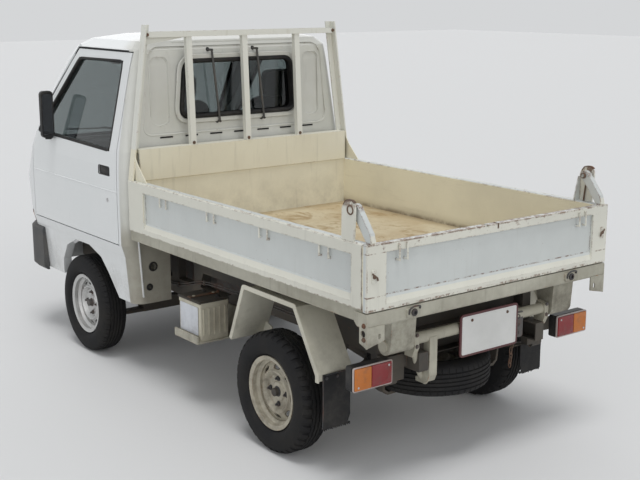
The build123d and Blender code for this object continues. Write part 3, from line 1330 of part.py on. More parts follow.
# Headboard: folded sheet, leaning angle posts, channel bars and a top rail
post_height = POST_TOP_Z - RAIL_TOP
post_normal = ((POST_TOP_X - POST_FOOT_X) / post_height, 0, 1)
POST_OVERRUN = 60
low_face_y = BED_FRONT_Y + HEADBOARD_DEPTH
high_face_y = BED_FRONT_Y + HEADBOARD_HIGH_DEPTH
bar_foot_y = high_face_y - BAR_DEPTH
bar_top_y = BED_FRONT_Y + BAR_TOP_SET
with BuildPart() as headboard:
    with BuildSketch(Plane.YZ.offset(-BED_INNER_HALF)):
        with BuildLine():
            Polyline(
                (BED_FRONT_Y, SILL_TOP),
                (low_face_y, SILL_TOP),
                (low_face_y, HEADBOARD_FOLD),
                (high_face_y, HEADBOARD_FOLD + 3),
                (high_face_y, HEADBOARD_TOP),
                (BED_FRONT_Y, HEADBOARD_TOP),
                (BED_FRONT_Y, HEADBOARD_TOP - HEADBOARD_FLANGE),
                (high_face_y - HEADBOARD_SHEET, HEADBOARD_TOP - HEADBOARD_FLANGE),
                (high_face_y - HEADBOARD_SHEET, HEADBOARD_FOLD + 8),
                (low_face_y - HEADBOARD_SHEET, HEADBOARD_FOLD),
                (low_face_y - HEADBOARD_SHEET, SILL_TOP + HEADBOARD_FLANGE),
                (BED_FRONT_Y, SILL_TOP + HEADBOARD_FLANGE),
                close=True,
            )
        make_face()
    extrude(amount=2 * BED_INNER_HALF)
    for side in SIDES:
        foot = Plane(origin=(side * POST_FOOT_X, BED_FRONT_Y, RAIL_TOP), x_dir=(0, 1, 0),
                     z_dir=(side * post_normal[0], 0, 1))
        with BuildSketch(foot.offset(-POST_OVERRUN)):
            with BuildLine():
                Polyline(
                    (0, 0), (POST_DEPTH, 0), (POST_DEPTH, side * POST_SHEET), (POST_SHEET, side * POST_SHEET),
                    (POST_SHEET, side * POST_WIDTH), (0, side * POST_WIDTH), close=True,
                )
            make_face()
        extrude(amount=math.hypot(post_height, POST_TOP_X - POST_FOOT_X) + 2 * POST_OVERRUN)
        # gusset plate from the post down to the side's top rail
        gusset_outline = [
            (BED_FRONT_Y + POST_DEPTH - 2, RAIL_TOP), (BED_FRONT_Y + POST_DEPTH + GUSSET_LENGTH, RAIL_TOP),
            (BED_FRONT_Y + POST_DEPTH + 20, RAIL_TOP + 88), (BED_FRONT_Y + POST_DEPTH - 2, RAIL_TOP + 121),
        ]
        near, far = sorted((side * (POST_FOOT_X - 22), side * (POST_FOOT_X - 17)))
        add(side_prism(gusset_outline, near, far))
    split(bisect_by=Plane.XY.offset(POST_TOP_Z), keep=Keep.BOTTOM)
    with BuildSketch(Plane.YZ.offset(POST_TOP_X - 12)):
        with BuildLine():
            Polyline(
                (BED_FRONT_Y, TOP_BAR_LOW), (BED_FRONT_Y + 36, TOP_BAR_LOW),
                (BED_FRONT_Y + 36, TOP_BAR_LOW + TOP_BAR_HEIGHT),
                (BED_FRONT_Y + 30, TOP_BAR_LOW + TOP_BAR_HEIGHT), (BED_FRONT_Y + 30, TOP_BAR_LOW + BAR_SHEET),
                (BED_FRONT_Y + 6, TOP_BAR_LOW + BAR_SHEET), (BED_FRONT_Y + 6, TOP_BAR_LOW + TOP_BAR_HEIGHT),
                (BED_FRONT_Y, TOP_BAR_LOW + TOP_BAR_HEIGHT), close=True,
            )
        make_face()
    extrude(amount=-2 * (POST_TOP_X - 12))
    # Upright bars of channel section, open to the front, leaning from the sheet to the top rail
    for bar_x in (-BAR_X, 0, BAR_X):
        for front, rear, half_width, mode in [
            (0, BAR_DEPTH, BAR_WIDTH / 2, Mode.ADD),
            (-1, BAR_DEPTH - BAR_SHEET, BAR_WIDTH / 2 - BAR_SHEET, Mode.SUBTRACT),
        ]:
            bar_outline = [
                (bar_foot_y + front, HEADBOARD_TOP),
                (bar_foot_y + rear, HEADBOARD_TOP),
                (bar_top_y + rear, TOP_BAR_LOW),
                (bar_top_y + front, TOP_BAR_LOW),
            ]
            add(side_prism(bar_outline, bar_x - half_width, bar_x + half_width), mode=mode)
# The posts' feet end on the sides' top rails
foot_cut = slab((BED_INNER_HALF, FAR), (-FAR, FAR), (0, RAIL_TOP))
headboard = headboard.part - foot_cut - mirror(foot_cut, about=Plane.YZ)
headboard.label = "headboard"

# Bed underframe: sills, long runners, crossbeams, tail beam, hinge lugs, rod eye plates, corner brackets
RUNNER_X = 370
RUNNER_WIDTH = 40
RUNNER_LOW = 698
TAIL_BEAM_LOW = 735
TAIL_BEAM_HIGH = 792
EYE_PLATE_X = 41
EYE_PLATE = 12
EYE_PLATE_LOW = 672
CORNER_SHEET = 6
CORNER_IN = 605
CORNER_FRONT_Y = BED_REAR_Y - 44
beam_high = SILL_TOP - SILL_BOTTOM
with BuildPart() as bed_underframe:
    for side in SIDES:
        sill_section = [
            (side * 630, SILL_BOTTOM), (side * SILL_OUT, SILL_BOTTOM), (side * SILL_OUT, SILL_TOP),
            (side * 630, SILL_TOP),
        ]
        add(front_prism(sill_section, BED_FRONT_Y, SIDE_REAR_Y))
        near, far = sorted((side * (RUNNER_X - RUNNER_WIDTH / 2), side * (RUNNER_X + RUNNER_WIDTH / 2)))
        runner_outline = [
            (BED_FRONT_Y + 103, SILL_BOTTOM),
            (BED_FRONT_Y + 150, RUNNER_LOW),
            (TILT_Y - 45, RUNNER_LOW),
            (TILT_Y - 45, SILL_BOTTOM),
        ]
        add(side_prism(runner_outline, near, far))
        lug_outline = [
            (TILT_Y - LUG_RADIUS, TILT_Z), (TILT_Y + LUG_RADIUS, TILT_Z), (TILT_Y + 48, SILL_BOTTOM),
            (TILT_Y - 70, SILL_BOTTOM),
        ]
        near, far = sorted((side * LUG_X, side * (LUG_X + LUG_WIDTH)))
        add(side_prism(lug_outline, near, far))
        with BuildSketch(Plane.YZ.offset(near)):
            with Locations((TILT_Y, TILT_Z)):
                Circle(LUG_RADIUS)
        extrude(amount=LUG_WIDTH)
        with BuildSketch(Plane.YZ.offset(near - 5)):
            with Locations((TILT_Y, TILT_Z)):
                Circle(TILT_SHAFT_RADIUS + TILT_CLEARANCE)
        extrude(amount=LUG_WIDTH + 10, mode=Mode.SUBTRACT)
        eye_outline = [
            (ROD_EYE_Y - 40, SILL_BOTTOM), (ROD_EYE_Y - 24, EYE_PLATE_LOW), (ROD_EYE_Y + 24, EYE_PLATE_LOW),
            (ROD_EYE_Y + 40, SILL_BOTTOM),
        ]
        near, far = sorted((side * (EYE_PLATE_X - EYE_PLATE / 2), side * (EYE_PLATE_X + EYE_PLATE / 2)))
        add(side_prism(eye_outline, near, far))
        # corner bracket: a side leaf and a rear leaf with pointed feet and a hole each
        side_leaf = [
            (CORNER_FRONT_Y, TAIL_BEAM_HIGH - 6), (BED_REAR_Y, TAIL_BEAM_HIGH - 6), (BED_REAR_Y, 656),
            (CORNER_FRONT_Y, 672),
        ]
        near, far = sorted((side * (BED_HALF - CORNER_SHEET), side * BED_HALF))
        add(side_prism(side_leaf, near, far))
        with BuildSketch(Plane.YZ.offset(near)):
            with Locations((BED_REAR_Y - 22, 712)):
                Circle(14)
        extrude(amount=CORNER_SHEET, mode=Mode.SUBTRACT)
        rear_leaf = [
            (side * BED_HALF, TAIL_BEAM_LOW + 4), (side * BED_HALF, 656), (side * CORNER_IN, 676),
            (side * CORNER_IN, TAIL_BEAM_LOW + 4),
        ]
        add(front_prism(rear_leaf, BED_REAR_Y - CORNER_SHEET, BED_REAR_Y))
        with BuildSketch(Plane.XZ.offset(-BED_REAR_Y)):
            with Locations((side * 630, 696)):
                SlotOverall(24, 13, rotation=90)
        extrude(amount=CORNER_SHEET, mode=Mode.SUBTRACT)
    front_beam_ys = [BED_FRONT_Y + along for along in (30, 348, 668)]
    rear_beam_ys = [ROD_EYE_Y + along for along in (-260, 0, 240)]
    for beam_y in front_beam_ys + rear_beam_ys:
        with BuildSketch(Plane.YZ.offset(-632)):
            with Locations((beam_y, (SILL_TOP + SILL_BOTTOM) / 2)):
                Trapezoid(70, beam_high, 70)
        extrude(amount=1264)
    tail_section = [
        (BED_REAR_Y - 76, TAIL_BEAM_LOW + 17),
        (BED_REAR_Y - 58, TAIL_BEAM_LOW),
        (BED_REAR_Y - 6, TAIL_BEAM_LOW),
        (BED_REAR_Y - 2, TAIL_BEAM_LOW + 6),
        (BED_REAR_Y - 2, TAIL_BEAM_HIGH),
        (BED_REAR_Y - 76, TAIL_BEAM_HIGH),
    ]
    add(side_prism(tail_section, -BED_HALF, BED_HALF))
    # latch housings on the tail beam
    for side in SIDES:
        with BuildSketch(Plane.XZ.offset(-BED_REAR_Y + 2)):
            with Locations((side * 461, 765)):
                RectangleRounded(70, 34, 8)
        extrude(amount=-HOOK_REACH + 2)
bed_underframe.part.label = "bed_underframe"

# Tailgate hung from the pins: one rolled profile with stiles, rope hooks, a notch and two arms
GATE_PANEL_Y = BED_REAR_Y - 14
GATE_PROFILE = [
    (BED_REAR_Y - GATE_THICK, GATE_LOW),
    (BED_REAR_Y, GATE_LOW),
    (BED_REAR_Y, LEDGE_LOW - 8),
    (GATE_PANEL_Y, LEDGE_TOP - 8),
    (GATE_PANEL_Y, RAIL_TOP - RAIL_DEPTH + 12),
    (BED_REAR_Y, RAIL_TOP - RAIL_DEPTH + 12),
    (BED_REAR_Y, RAIL_TOP),
    (BED_REAR_Y - GATE_THICK, RAIL_TOP),
]
GATE_STILE = 95
GATE_HOOK_X = 520
GATE_HOOK_HALF = 20
GATE_HOOK_LOW = 985
NOTCH_WIDTH = 14
NOTCH_DEPTH = 10
with BuildPart() as tailgate:
    add(side_prism(GATE_PROFILE, -BED_HALF, BED_HALF))
    for side in SIDES:
        with BuildSketch(Plane.XZ.offset(-GATE_PANEL_Y)):
            with Locations((side * (BED_HALF - GATE_STILE / 2), (GATE_LOW + RAIL_TOP) / 2)):
                Rectangle(GATE_STILE, RAIL_TOP - GATE_LOW)
        extrude(amount=GATE_PANEL_Y - BED_REAR_Y)
        for leg_x in (side * GATE_HOOK_X - GATE_HOOK_HALF, side * GATE_HOOK_X + GATE_HOOK_HALF):
            hook_line = [
                (leg_x, GATE_PANEL_Y, RAIL_TOP - 14),
                (leg_x, VEHICLE_REAR_Y - ROPE_HOOK_RADIUS, RAIL_TOP - 14),
                (leg_x, VEHICLE_REAR_Y - ROPE_HOOK_RADIUS, GATE_HOOK_LOW),
                (leg_x, GATE_PANEL_Y - 6, GATE_HOOK_LOW),
            ]
            add(bent_rod(hook_line, ROPE_HOOK_RADIUS))
        arm_outline = [
            (BED_REAR_Y - GATE_THICK, RAIL_TOP),
            (BED_REAR_Y, RAIL_TOP),
            (BED_REAR_Y - 12, RAIL_TOP + 40),
            (GATE_PIN_Y + 20, GATE_PIN_Z + 12),
            (GATE_PIN_Y - 15, GATE_PIN_Z + 8),
            (GATE_PIN_Y - 10, GATE_PIN_Z - 15),
        ]
        near, far = sorted((side * ARM_X, side * (ARM_X + ARM_THICK)))
        add(side_prism(arm_outline, near, far))
        with BuildSketch(Plane.YZ.offset(near)):
            with Locations((GATE_PIN_Y, GATE_PIN_Z)):
                Circle(ARM_EYE_RADIUS)
        extrude(amount=ARM_THICK)
        with BuildSketch(Plane.YZ.offset(near)):
            with Locations((GATE_PIN_Y, GATE_PIN_Z)):
                Circle(GATE_PIN_RADIUS + GATE_PIN_CLEARANCE)
        extrude(amount=ARM_THICK, mode=Mode.SUBTRACT)
    with Locations((60, BED_REAR_Y - GATE_THICK / 2, RAIL_TOP - NOTCH_DEPTH / 2)):
        Box(NOTCH_WIDTH, GATE_THICK, NOTCH_DEPTH, mode=Mode.SUBTRACT)
tailgate.part.label = "tailgate"

# Hoist cylinder, drawn with the bed down
hoist_run = ROD_EYE_Y - BARREL_PIN_Y
hoist_rise = ROD_EYE_Z - BARREL_PIN_Z
hoist_length = math.hypot(hoist_run, hoist_rise)
hoist_plane = Plane(origin=(0, BARREL_PIN_Y, BARREL_PIN_Z), x_dir=(1, 0, 0), z_dir=(0, hoist_run, hoist_rise))
BARREL_EYE_HALF = 34
BARREL_EYE_RADIUS = 28
BARREL_END_GAP = 60
ROD_START = 80
BORE_START = 60
ROD_EYE_HALF = 28
ROD_EYE_RADIUS = 26
# distance along the barrel, radius
BARREL_STEPS = [
    (0, BARREL_RADIUS - 6),
    (40, BARREL_RADIUS),
    (hoist_length - BARREL_END_GAP - 36, BARREL_RADIUS),
    (hoist_length - BARREL_END_GAP - 34, BARREL_RADIUS + 5),
    (hoist_length - BARREL_END_GAP, BARREL_RADIUS + 5),
]
with BuildPart() as hoist_barrel:
    with BuildSketch(Plane(hoist_plane.origin, x_dir=hoist_plane.y_dir, z_dir=-hoist_plane.x_dir)):
        with BuildLine():
            Polyline(
                (0, 0),
                *[(radius, -along) for along, radius in BARREL_STEPS],
                (0, -BARREL_STEPS[-1][0]),
                close=True,
            )
        make_face()
    revolve(axis=Axis(hoist_plane.origin, hoist_plane.z_dir), revolution_arc=360)
    with BuildSketch(Plane.YZ.offset(-BARREL_EYE_HALF)):
        with Locations((BARREL_PIN_Y, BARREL_PIN_Z)):
            Circle(BARREL_EYE_RADIUS)
    extrude(amount=2 * BARREL_EYE_HALF)
    with BuildSketch(hoist_plane.offset(BORE_START)):
        Circle(ROD_RADIUS + ROD_CLEARANCE)
    extrude(amount=hoist_length, mode=Mode.SUBTRACT)
    with BuildSketch(Plane.YZ.offset(-CHEEK_X)):
        with Locations((BARREL_PIN_Y, BARREL_PIN_Z)):
            Circle(BARREL_PIN_RADIUS + BARREL_PIN_CLEARANCE)
    extrude(amount=2 * CHEEK_X, mode=Mode.SUBTRACT)
hoist_barrel.part.label = "hoist_barrel"
with BuildPart() as hoist_rod:
    with BuildSketch(hoist_plane.offset(ROD_START)):
        Circle(ROD_RADIUS)
    extrude(amount=hoist_length - ROD_START)
    with BuildSketch(Plane.YZ.offset(-ROD_EYE_HALF)):
        with Locations((ROD_EYE_Y, ROD_EYE_Z)):
            Circle(ROD_EYE_RADIUS)
    extrude(amount=2 * ROD_EYE_HALF)
hoist_rod.part.label = "hoist_rod"

# Door mirrors: a rounded shell on a stalk
MIRROR_CORNER = 22
STALK_LOW = 1180
STALK_HEIGHT = 16
STALK_LINE = [(640, -1290), (640, -1240), (720, -1095), (745, -1115)]
mirrors = {}
for side in SIDES:
    with BuildPart() as mirror_form:
        for level, inset in [(-MIRROR_DEPTH / 2, 10), (-MIRROR_DEPTH / 2 + 12, 0), (MIRROR_DEPTH / 2, 0)]:
            with BuildSketch(Plane.XZ.offset(-MIRROR_Y - level)):
                with Locations((side * MIRROR_X, (MIRROR_LOW + MIRROR_HIGH) / 2)):
                    RectangleRounded(MIRROR_WIDTH - 2 * inset, MIRROR_HIGH - MIRROR_LOW - 2 * inset,
                                     MIRROR_CORNER - inset)
        loft(ruled=True)
        with BuildSketch(Plane.XY.offset(STALK_LOW)):
            with BuildLine():
                Polyline(*[(side * along, y) for along, y in STALK_LINE], close=True)
            make_face()
        extrude(amount=STALK_HEIGHT)
    mirrors[side] = mirror_form.part - cab_outer
mirrors[1].label = "mirror_left"
mirrors[-1].label = "mirror_right"

door_parts[1].label = "door_left"
door_parts[-1].label = "door_right"
glass_parts[1].label = "door_glass_left"
glass_parts[-1].label = "door_glass_right"

for piece in (
    cab_front_panel, cab_roof, cab_back_panel, cab_sides, cab_floor, cab_glass, rear_window_seal,
    window_guards, grille, headlamps, front_indicators, front_bumper, dashboard, steering_wheel.part,
    seats.part, ladder_frame.part, engine.part, gearbox.part, propeller_shaft, rear_axle.part,
    leaf_springs.part, front_suspension.part, knuckles[1], knuckles[-1], spare_tyre, spare_rim,
    fuel_tank.part, battery.part, battery_tray, exhaust.part, rear_fenders.part, mudflaps.part,
    tilt_shaft.part, tail_lamps.part, number_plate.part, hoist_subframe.part, bed_floor.part,
    bed_sides.part, headboard, bed_underframe.part, tailgate.part, hoist_barrel.part, hoist_rod.part,
    mirrors[1], mirrors[-1], door_parts[1], door_parts[-1], glass_parts[1], glass_parts[-1],
    *rims.values(), *tyres.values(),
):
    export_step(piece, "parts/" + piece.label + ".step")
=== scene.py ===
import math
import random

import bmesh
import bpy
from mathutils import Matrix, Vector


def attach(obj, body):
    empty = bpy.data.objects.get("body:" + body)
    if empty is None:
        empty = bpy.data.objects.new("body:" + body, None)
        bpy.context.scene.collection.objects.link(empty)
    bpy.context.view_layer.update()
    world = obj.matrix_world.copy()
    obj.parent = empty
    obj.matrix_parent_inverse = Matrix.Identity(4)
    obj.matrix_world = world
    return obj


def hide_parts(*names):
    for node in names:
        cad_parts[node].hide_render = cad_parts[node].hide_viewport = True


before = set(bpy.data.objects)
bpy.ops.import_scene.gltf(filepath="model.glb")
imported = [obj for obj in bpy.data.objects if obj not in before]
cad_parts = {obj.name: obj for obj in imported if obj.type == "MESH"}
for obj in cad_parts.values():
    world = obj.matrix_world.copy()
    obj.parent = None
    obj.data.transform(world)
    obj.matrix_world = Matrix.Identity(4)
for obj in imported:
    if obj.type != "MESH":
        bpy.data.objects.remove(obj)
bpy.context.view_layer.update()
random.seed(7)

# Camera, placed where the photograph was taken from
CAMERA_AT = (3.296, 4.7592, 1.9819)
CAMERA_PITCH = -0.2179
CAMERA_HEADING = (0.592, -0.777)
CAMERA_LENS = 63.0
SENSOR_WIDTH = 36
camera_data = bpy.data.cameras.new("camera")
camera_data.lens = CAMERA_LENS
camera_data.sensor_width = SENSOR_WIDTH
camera_data.clip_end = 100
camera = bpy.data.objects.new("camera", camera_data)
bpy.context.scene.collection.objects.link(camera)
camera.location = CAMERA_AT
camera.rotation_euler = (math.pi / 2 + CAMERA_PITCH, 0, math.atan2(*CAMERA_HEADING))
bpy.context.scene.camera = camera
bpy.context.scene.view_settings.view_transform = "Standard"


# Material building
class Tree:
    """A small helper round one node tree; spaces in the names of inputs are written as underscores."""

    def __init__(self, owner):
        owner.use_nodes = True
        self.tree = owner.node_tree
        self.tree.nodes.clear()

    def put(self, socket, value):
        if isinstance(value, bpy.types.NodeSocket):
            self.tree.links.new(value, socket)
        elif socket.type == "RGBA":
            socket.default_value = (*value, 1)
        else:
            socket.default_value = value

    def fill(self, node, *values, **named):
        """Puts values or links in a node's first inputs, and in its inputs of these names."""
        for socket, value in zip(node.inputs, values):
            self.put(socket, value)
        for name, value in named.items():
            self.put(node.inputs[name.replace("_", " ")], value)
        return node

    def node(self, kind, **named):
        return self.fill(self.tree.nodes.new("ShaderNode" + kind), **named)

    def math(self, what, *values, clamp=False):
        node = self.node("Math")
        node.operation = what
        node.use_clamp = clamp
        return self.fill(node, *values).outputs[0]


class Shader(Tree):
    """A material of one surface, whose noises lie in the truck's own coordinates."""

    def __init__(self, name):
        self.material = bpy.data.materials.new(name)
        super().__init__(self.material)
        self.body = self.node("BsdfPrincipled")
        self.node("OutputMaterial", Surface=self.body.outputs[0])
        self.place = self.node("TexCoord").outputs["Object"]
        self.split = self.node("SeparateXYZ", Vector=self.place)

    def axis(self, letter):
        return self.split.outputs["XYZ".index(letter)]

    def product(self, first, *others):
        for other in others:
            first = self.math("MULTIPLY", first, other)
        return first

    def lay(self, base, colour, *shares):
        """The base with a colour laid over it, as much as the product of these shares says."""
        node = self.node("Mix")
        node.data_type = "RGBA"
        self.put(node.inputs[0], self.product(*shares))
        self.put(node.inputs[6], base)
        self.put(node.inputs[7], colour)
        return node.outputs[2]

    def noise(self, scale, detail=4, stretch=None, rough=0.6, distort=0):
        place = self.place
        if stretch:
            place = self.node("Mapping", Vector=place, Scale=stretch).outputs[0]
        return self.node("TexNoise", Vector=place, Scale=scale, Detail=detail, Roughness=rough,
                         Distortion=distort).outputs[0]

    def ramp(self, value, low, high):
        """0 below low, 1 above high; falls instead where low is above high."""
        falls = low > high
        node = self.node("MapRange", Value=value, From_Min=min(low, high), From_Max=max(low, high),
                         To_Min=float(falls), To_Max=float(not falls))
        node.interpolation_type = "SMOOTHSTEP"
        return node.outputs[0]

    def spots(self, low, high, *noise, **more):
        """A noise, made 0 below low and 1 above high."""
        return self.ramp(self.noise(*noise, **more), low, high)

    def edges(self, radius=0.006):
        """1 near the edges of the shape, from how far a rounded normal leaves the flat one."""
        bevel = self.node("Bevel", Radius=radius)
        bevel.samples = 4
        dot = self.node("VectorMath")
        dot.operation = "DOT_PRODUCT"
        self.fill(dot, bevel.outputs[0], self.node("NewGeometry").outputs["True Normal"])
        return self.ramp(dot.outputs["Value"], 0.995, 0.90)

    def bump(self, height, strength, distance=0.002):
        node = self.node("Bump", Strength=strength, Distance=distance, Height=height)
        self.fill(self.body, Normal=node.outputs[0])

    def finish(self, colour, rough, metal=0.0, **more):
        self.fill(self.body, Base_Color=colour, Roughness=rough, Metallic=metal, **more)
        return self.material


def times(colour, share):
    return tuple(c * share for c in colour)


RUST = (0.16, 0.055, 0.022)
RUST_PALE = (0.33, 0.16, 0.075)
GRIME = (0.09, 0.075, 0.055)
ROAD_FILM = (0.22, 0.19, 0.15)
WHITE = (0.74, 0.755, 0.755)
WHITE_SHADE = (0.72, 0.74, 0.74)
BED_FRAME = (0.70, 0.69, 0.61)
BED_PANEL = (0.60, 0.625, 0.61)
BED_IN = (0.80, 0.755, 0.59)
BED_DIRT = (0.24, 0.18, 0.10)

# Rust along the boards of the bed, and a painted shadow line on the tailgate: each line's height and reach in
# metres, and how much of that it covers
SIDE_RUST = [(1.0595, 0.004, 0.5), (0.804, 0.007, 0.6), (1.206, 0.022, 1.0)]
# On the tailgate, the thin line at 1.024 m is painted shadow under the top rail, laid in the rust's colour
GATE_RUST_AND_SHADOW = [(1.059, 0.008, 0.9), (1.043, 0.020, 0.38), (1.024, 0.003, 0.6), (0.855, 0.004, 0.8),
             (0.803, 0.007, 0.8), (1.195, 0.025, 0.9)]


def paint(name, colour, shade=None, rough=0.35, dirt=0.3, dirt_low=0.2, dirt_high=0.9, rust=0.2,
          edge_rust=0.0, streak=0.2, grime=GRIME, coat=0.0, zone=None):
    """Painted sheet: colour drift, dirt that thins out with height, run marks, rust specks, rusty edges."""
    s = Shader(name)
    shade = shade or times(colour, 0.86)
    base = s.lay(colour, shade, s.spots(0.35, 0.7, 2.3, 5))
    if zone:
        letter, low, high, other = zone
        base = s.lay(base, other, s.ramp(s.axis(letter), low, high))
    base = s.lay(base, times(shade, 0.6), s.spots(0.55, 0.78, 9, 5, stretch=(4.0, 4.0, 0.35)), streak)
    near_road = s.ramp(s.axis("Z"), dirt_high, dirt_low)
    dirty = s.product(near_road, s.spots(0.3, 0.75, 11, 6, rough=0.7), dirt)
    base = s.lay(base, grime, dirty)
    base = s.lay(base, RUST, s.spots(0.70, 0.78, 70, 3, rough=0.75), rust)
    if edge_rust:
        chips = s.spots(0.62 - 0.25 * edge_rust, 0.74 - 0.2 * edge_rust, 26, 6, rough=0.75)
        worn = s.product(s.edges(), chips)
        base = s.lay(base, s.lay(RUST, RUST_PALE, s.spots(0.4, 0.6, 90, 2)), worn, 0.85)
        dirty = s.math("MAXIMUM", dirty, worn)
    s.bump(s.noise(180, 2), 0.06, 0.001)
    return s.finish(base, s.math("MULTIPLY_ADD", dirty, 0.45, rough, clamp=True), Coat_Weight=coat,
                    Coat_Roughness=0.08)


def plastic(name, colour, rough=0.5, dust=0.25, bump=0.15, dust_colour=(0.22, 0.20, 0.17)):
    s = Shader(name)
    dusty = s.product(s.spots(0.35, 0.75, 7, 6, rough=0.7), dust)
    s.bump(s.noise(420, 2), bump, 0.0006)
    roughness = s.math("MULTIPLY_ADD", dusty, 0.3, rough, clamp=True)
    return s.finish(s.lay(colour, dust_colour, dusty), roughness, Specular_IOR_Level=0.22)


def bare_metal(name, colour, rough=0.35, rust=0.3, metal=0.9):
    s = Shader(name)
    stain = s.product(s.spots(0.45, 0.7, 14, 6, rough=0.7), rust)
    s.bump(s.noise(120, 3), 0.15, 0.001)
    return s.finish(s.lay(colour, RUST, stain), s.math("MULTIPLY_ADD", stain, 0.4, rough, clamp=True),
                    s.math("MULTIPLY_ADD", stain, -0.8 * metal, metal, clamp=True))


def board(name, axis, limit, panel_limit, rust_and_shadow_lines):
    """Paint that changes through a board of the bed: worn inside; outside, a frame with a recessed panel."""
    s = Shader(name)
    height = s.axis("Z")
    depth = s.math("ABSOLUTE", s.axis(axis))
    recessed = s.ramp(depth, panel_limit + 0.0006, panel_limit - 0.0006)
    drift = s.spots(0.35, 0.7, 2.1, 5)
    dull = s.lay(times(BED_FRAME, 0.9), times(BED_PANEL, 0.9), recessed)
    outer = s.lay(s.lay(BED_FRAME, BED_PANEL, recessed), dull, drift)
    outer = s.lay(outer, times(BED_FRAME, 0.6), s.spots(0.55, 0.8, 10, 5, stretch=(5, 5, 0.3)), 0.25)
    inner = s.lay(BED_IN, times(BED_IN, 0.88), drift)
    rub = s.spots(0.52, 0.74, 5, 7, stretch=(1.0, 0.5, 5.0), rough=0.72)
    inner = s.lay(inner, (0.34, 0.28, 0.18), rub, 0.18)
    inner = s.lay(inner, BED_DIRT, s.ramp(height, 0.87, 0.80), 0.45)
    seam = s.ramp(height, 0.838, 0.812)
    inner = s.lay(inner, (0.15, 0.10, 0.055), seam, s.spots(0.3, 0.6, 13, 6, rough=0.7), 0.7)
    inside = s.product(s.ramp(depth, limit + 0.003, limit - 0.003), s.ramp(height, 1.0575, 1.0550))
    base = s.lay(outer, inner, inside)
    patchy = s.noise(34, 7, rough=0.78)
    tone = s.lay((0.13, 0.062, 0.034), (0.27, 0.15, 0.085), s.spots(0.45, 0.75, 80, 3))
    # Rust lines, and the painted shadow line where the list holds one, in the rust's patchy tone
    for level, reach, share in rust_and_shadow_lines:
        near = s.ramp(s.math("ABSOLUTE", s.math("SUBTRACT", height, level)), reach, reach * 0.3)
        base = s.lay(base, tone, near, s.ramp(patchy, 0.66 - 0.24 * share, 0.76 - 0.22 * share), 0.85)
    base = s.lay(base, RUST, s.spots(0.69, 0.76, 60, 3, rough=0.75), 0.6)
    base = s.lay(base, tone, s.edges(0.009), s.spots(0.46, 0.60, 22, 6, rough=0.75), 0.8)
    s.bump(s.noise(30, 4), 0.12)
    return s.finish(base, s.math("MULTIPLY_ADD", inside, 0.2, 0.42, clamp=True))


def cloth(name, colour, shade):
    """Woven seat cloth: fine crossed threads, a pale fleck and wear."""
    s = Shader(name)
    threads = s.product(s.noise(900, 1, stretch=(1, 0.08, 0.08)), s.noise(900, 1, stretch=(0.08, 1, 1)))
    base = s.lay(colour, shade, s.spots(0.35, 0.7, 6, 5))
    base = s.lay(base, times(colour, 1.9), s.ramp(threads, 0.2, 0.4), 0.5)
    s.bump(threads, 0.35, 0.0008)
    return s.finish(base, 0.9, Sheen_Weight=0.3)


def floor_sheet(name):
    """Cream paint worn through in blotches and scrapes to tan dirt and brown steel."""
    s = Shader(name)
    base = s.lay((0.50, 0.40, 0.25), (0.60, 0.52, 0.36), s.spots(0.36, 0.64, 2.6, 7, rough=0.7))
    blotch = s.spots(0.50, 0.60, 5.5, 9, stretch=(1.4, 0.9, 1.0), rough=0.72, distort=0.35)
    base = s.lay(base, (0.36, 0.25, 0.125), blotch, 0.85)
    scrape = s.spots(0.57, 0.68, 15, 8, stretch=(3.2, 0.35, 1.0), rough=0.8)
    base = s.lay(base, (0.27, 0.19, 0.11), scrape, 0.5)
    base = s.lay(base, (0.30, 0.22, 0.13), s.spots(0.55, 0.75, 85, 4, rough=0.8), 0.35)
    left = s.spots(0.62, 0.70, 19, 7, stretch=(1.6, 0.8, 1), rough=0.8)
    base = s.lay(base, (0.70, 0.65, 0.51), left, 0.5)
    rim = s.ramp(s.math("ABSOLUTE", s.axis("X")), 0.57, 0.65)
    base = s.lay(base, BED_DIRT, s.math("MAXIMUM", rim, s.ramp(s.axis("Y"), -0.10, -0.19)), 0.55)
    s.bump(s.noise(12, 6, stretch=(2, 0.8, 1)), 0.3, 0.004)
    return s.finish(base, 0.7, 0.03)


def glass(name, tint, rough, weight, dust):
    s = Shader(name)
    film = s.product(s.spots(0.4, 0.8, 8, 6, rough=0.7), dust)
    return s.finish(s.lay(tint, (0.6, 0.6, 0.58), film), s.math("ADD", rough, film),
                    Transmission_Weight=weight, IOR=1.45)


def lens(name, colour):
    """Moulded lamp lens with fine vertical flutes."""
    s = Shader(name)
    wave = s.node("TexWave", Scale=110, Vector=s.place)
    wave.bands_direction = "X"
    base = s.lay(colour, times(colour, 0.45), wave.outputs[1], 0.4)
    base = s.lay(base, (0.1, 0.07, 0.05), s.spots(0.5, 0.7, 20, 5), 0.35)
    s.bump(wave.outputs[1], 0.4)
    return s.finish(base, 0.25, Transmission_Weight=0.15, Coat_Weight=0.25)


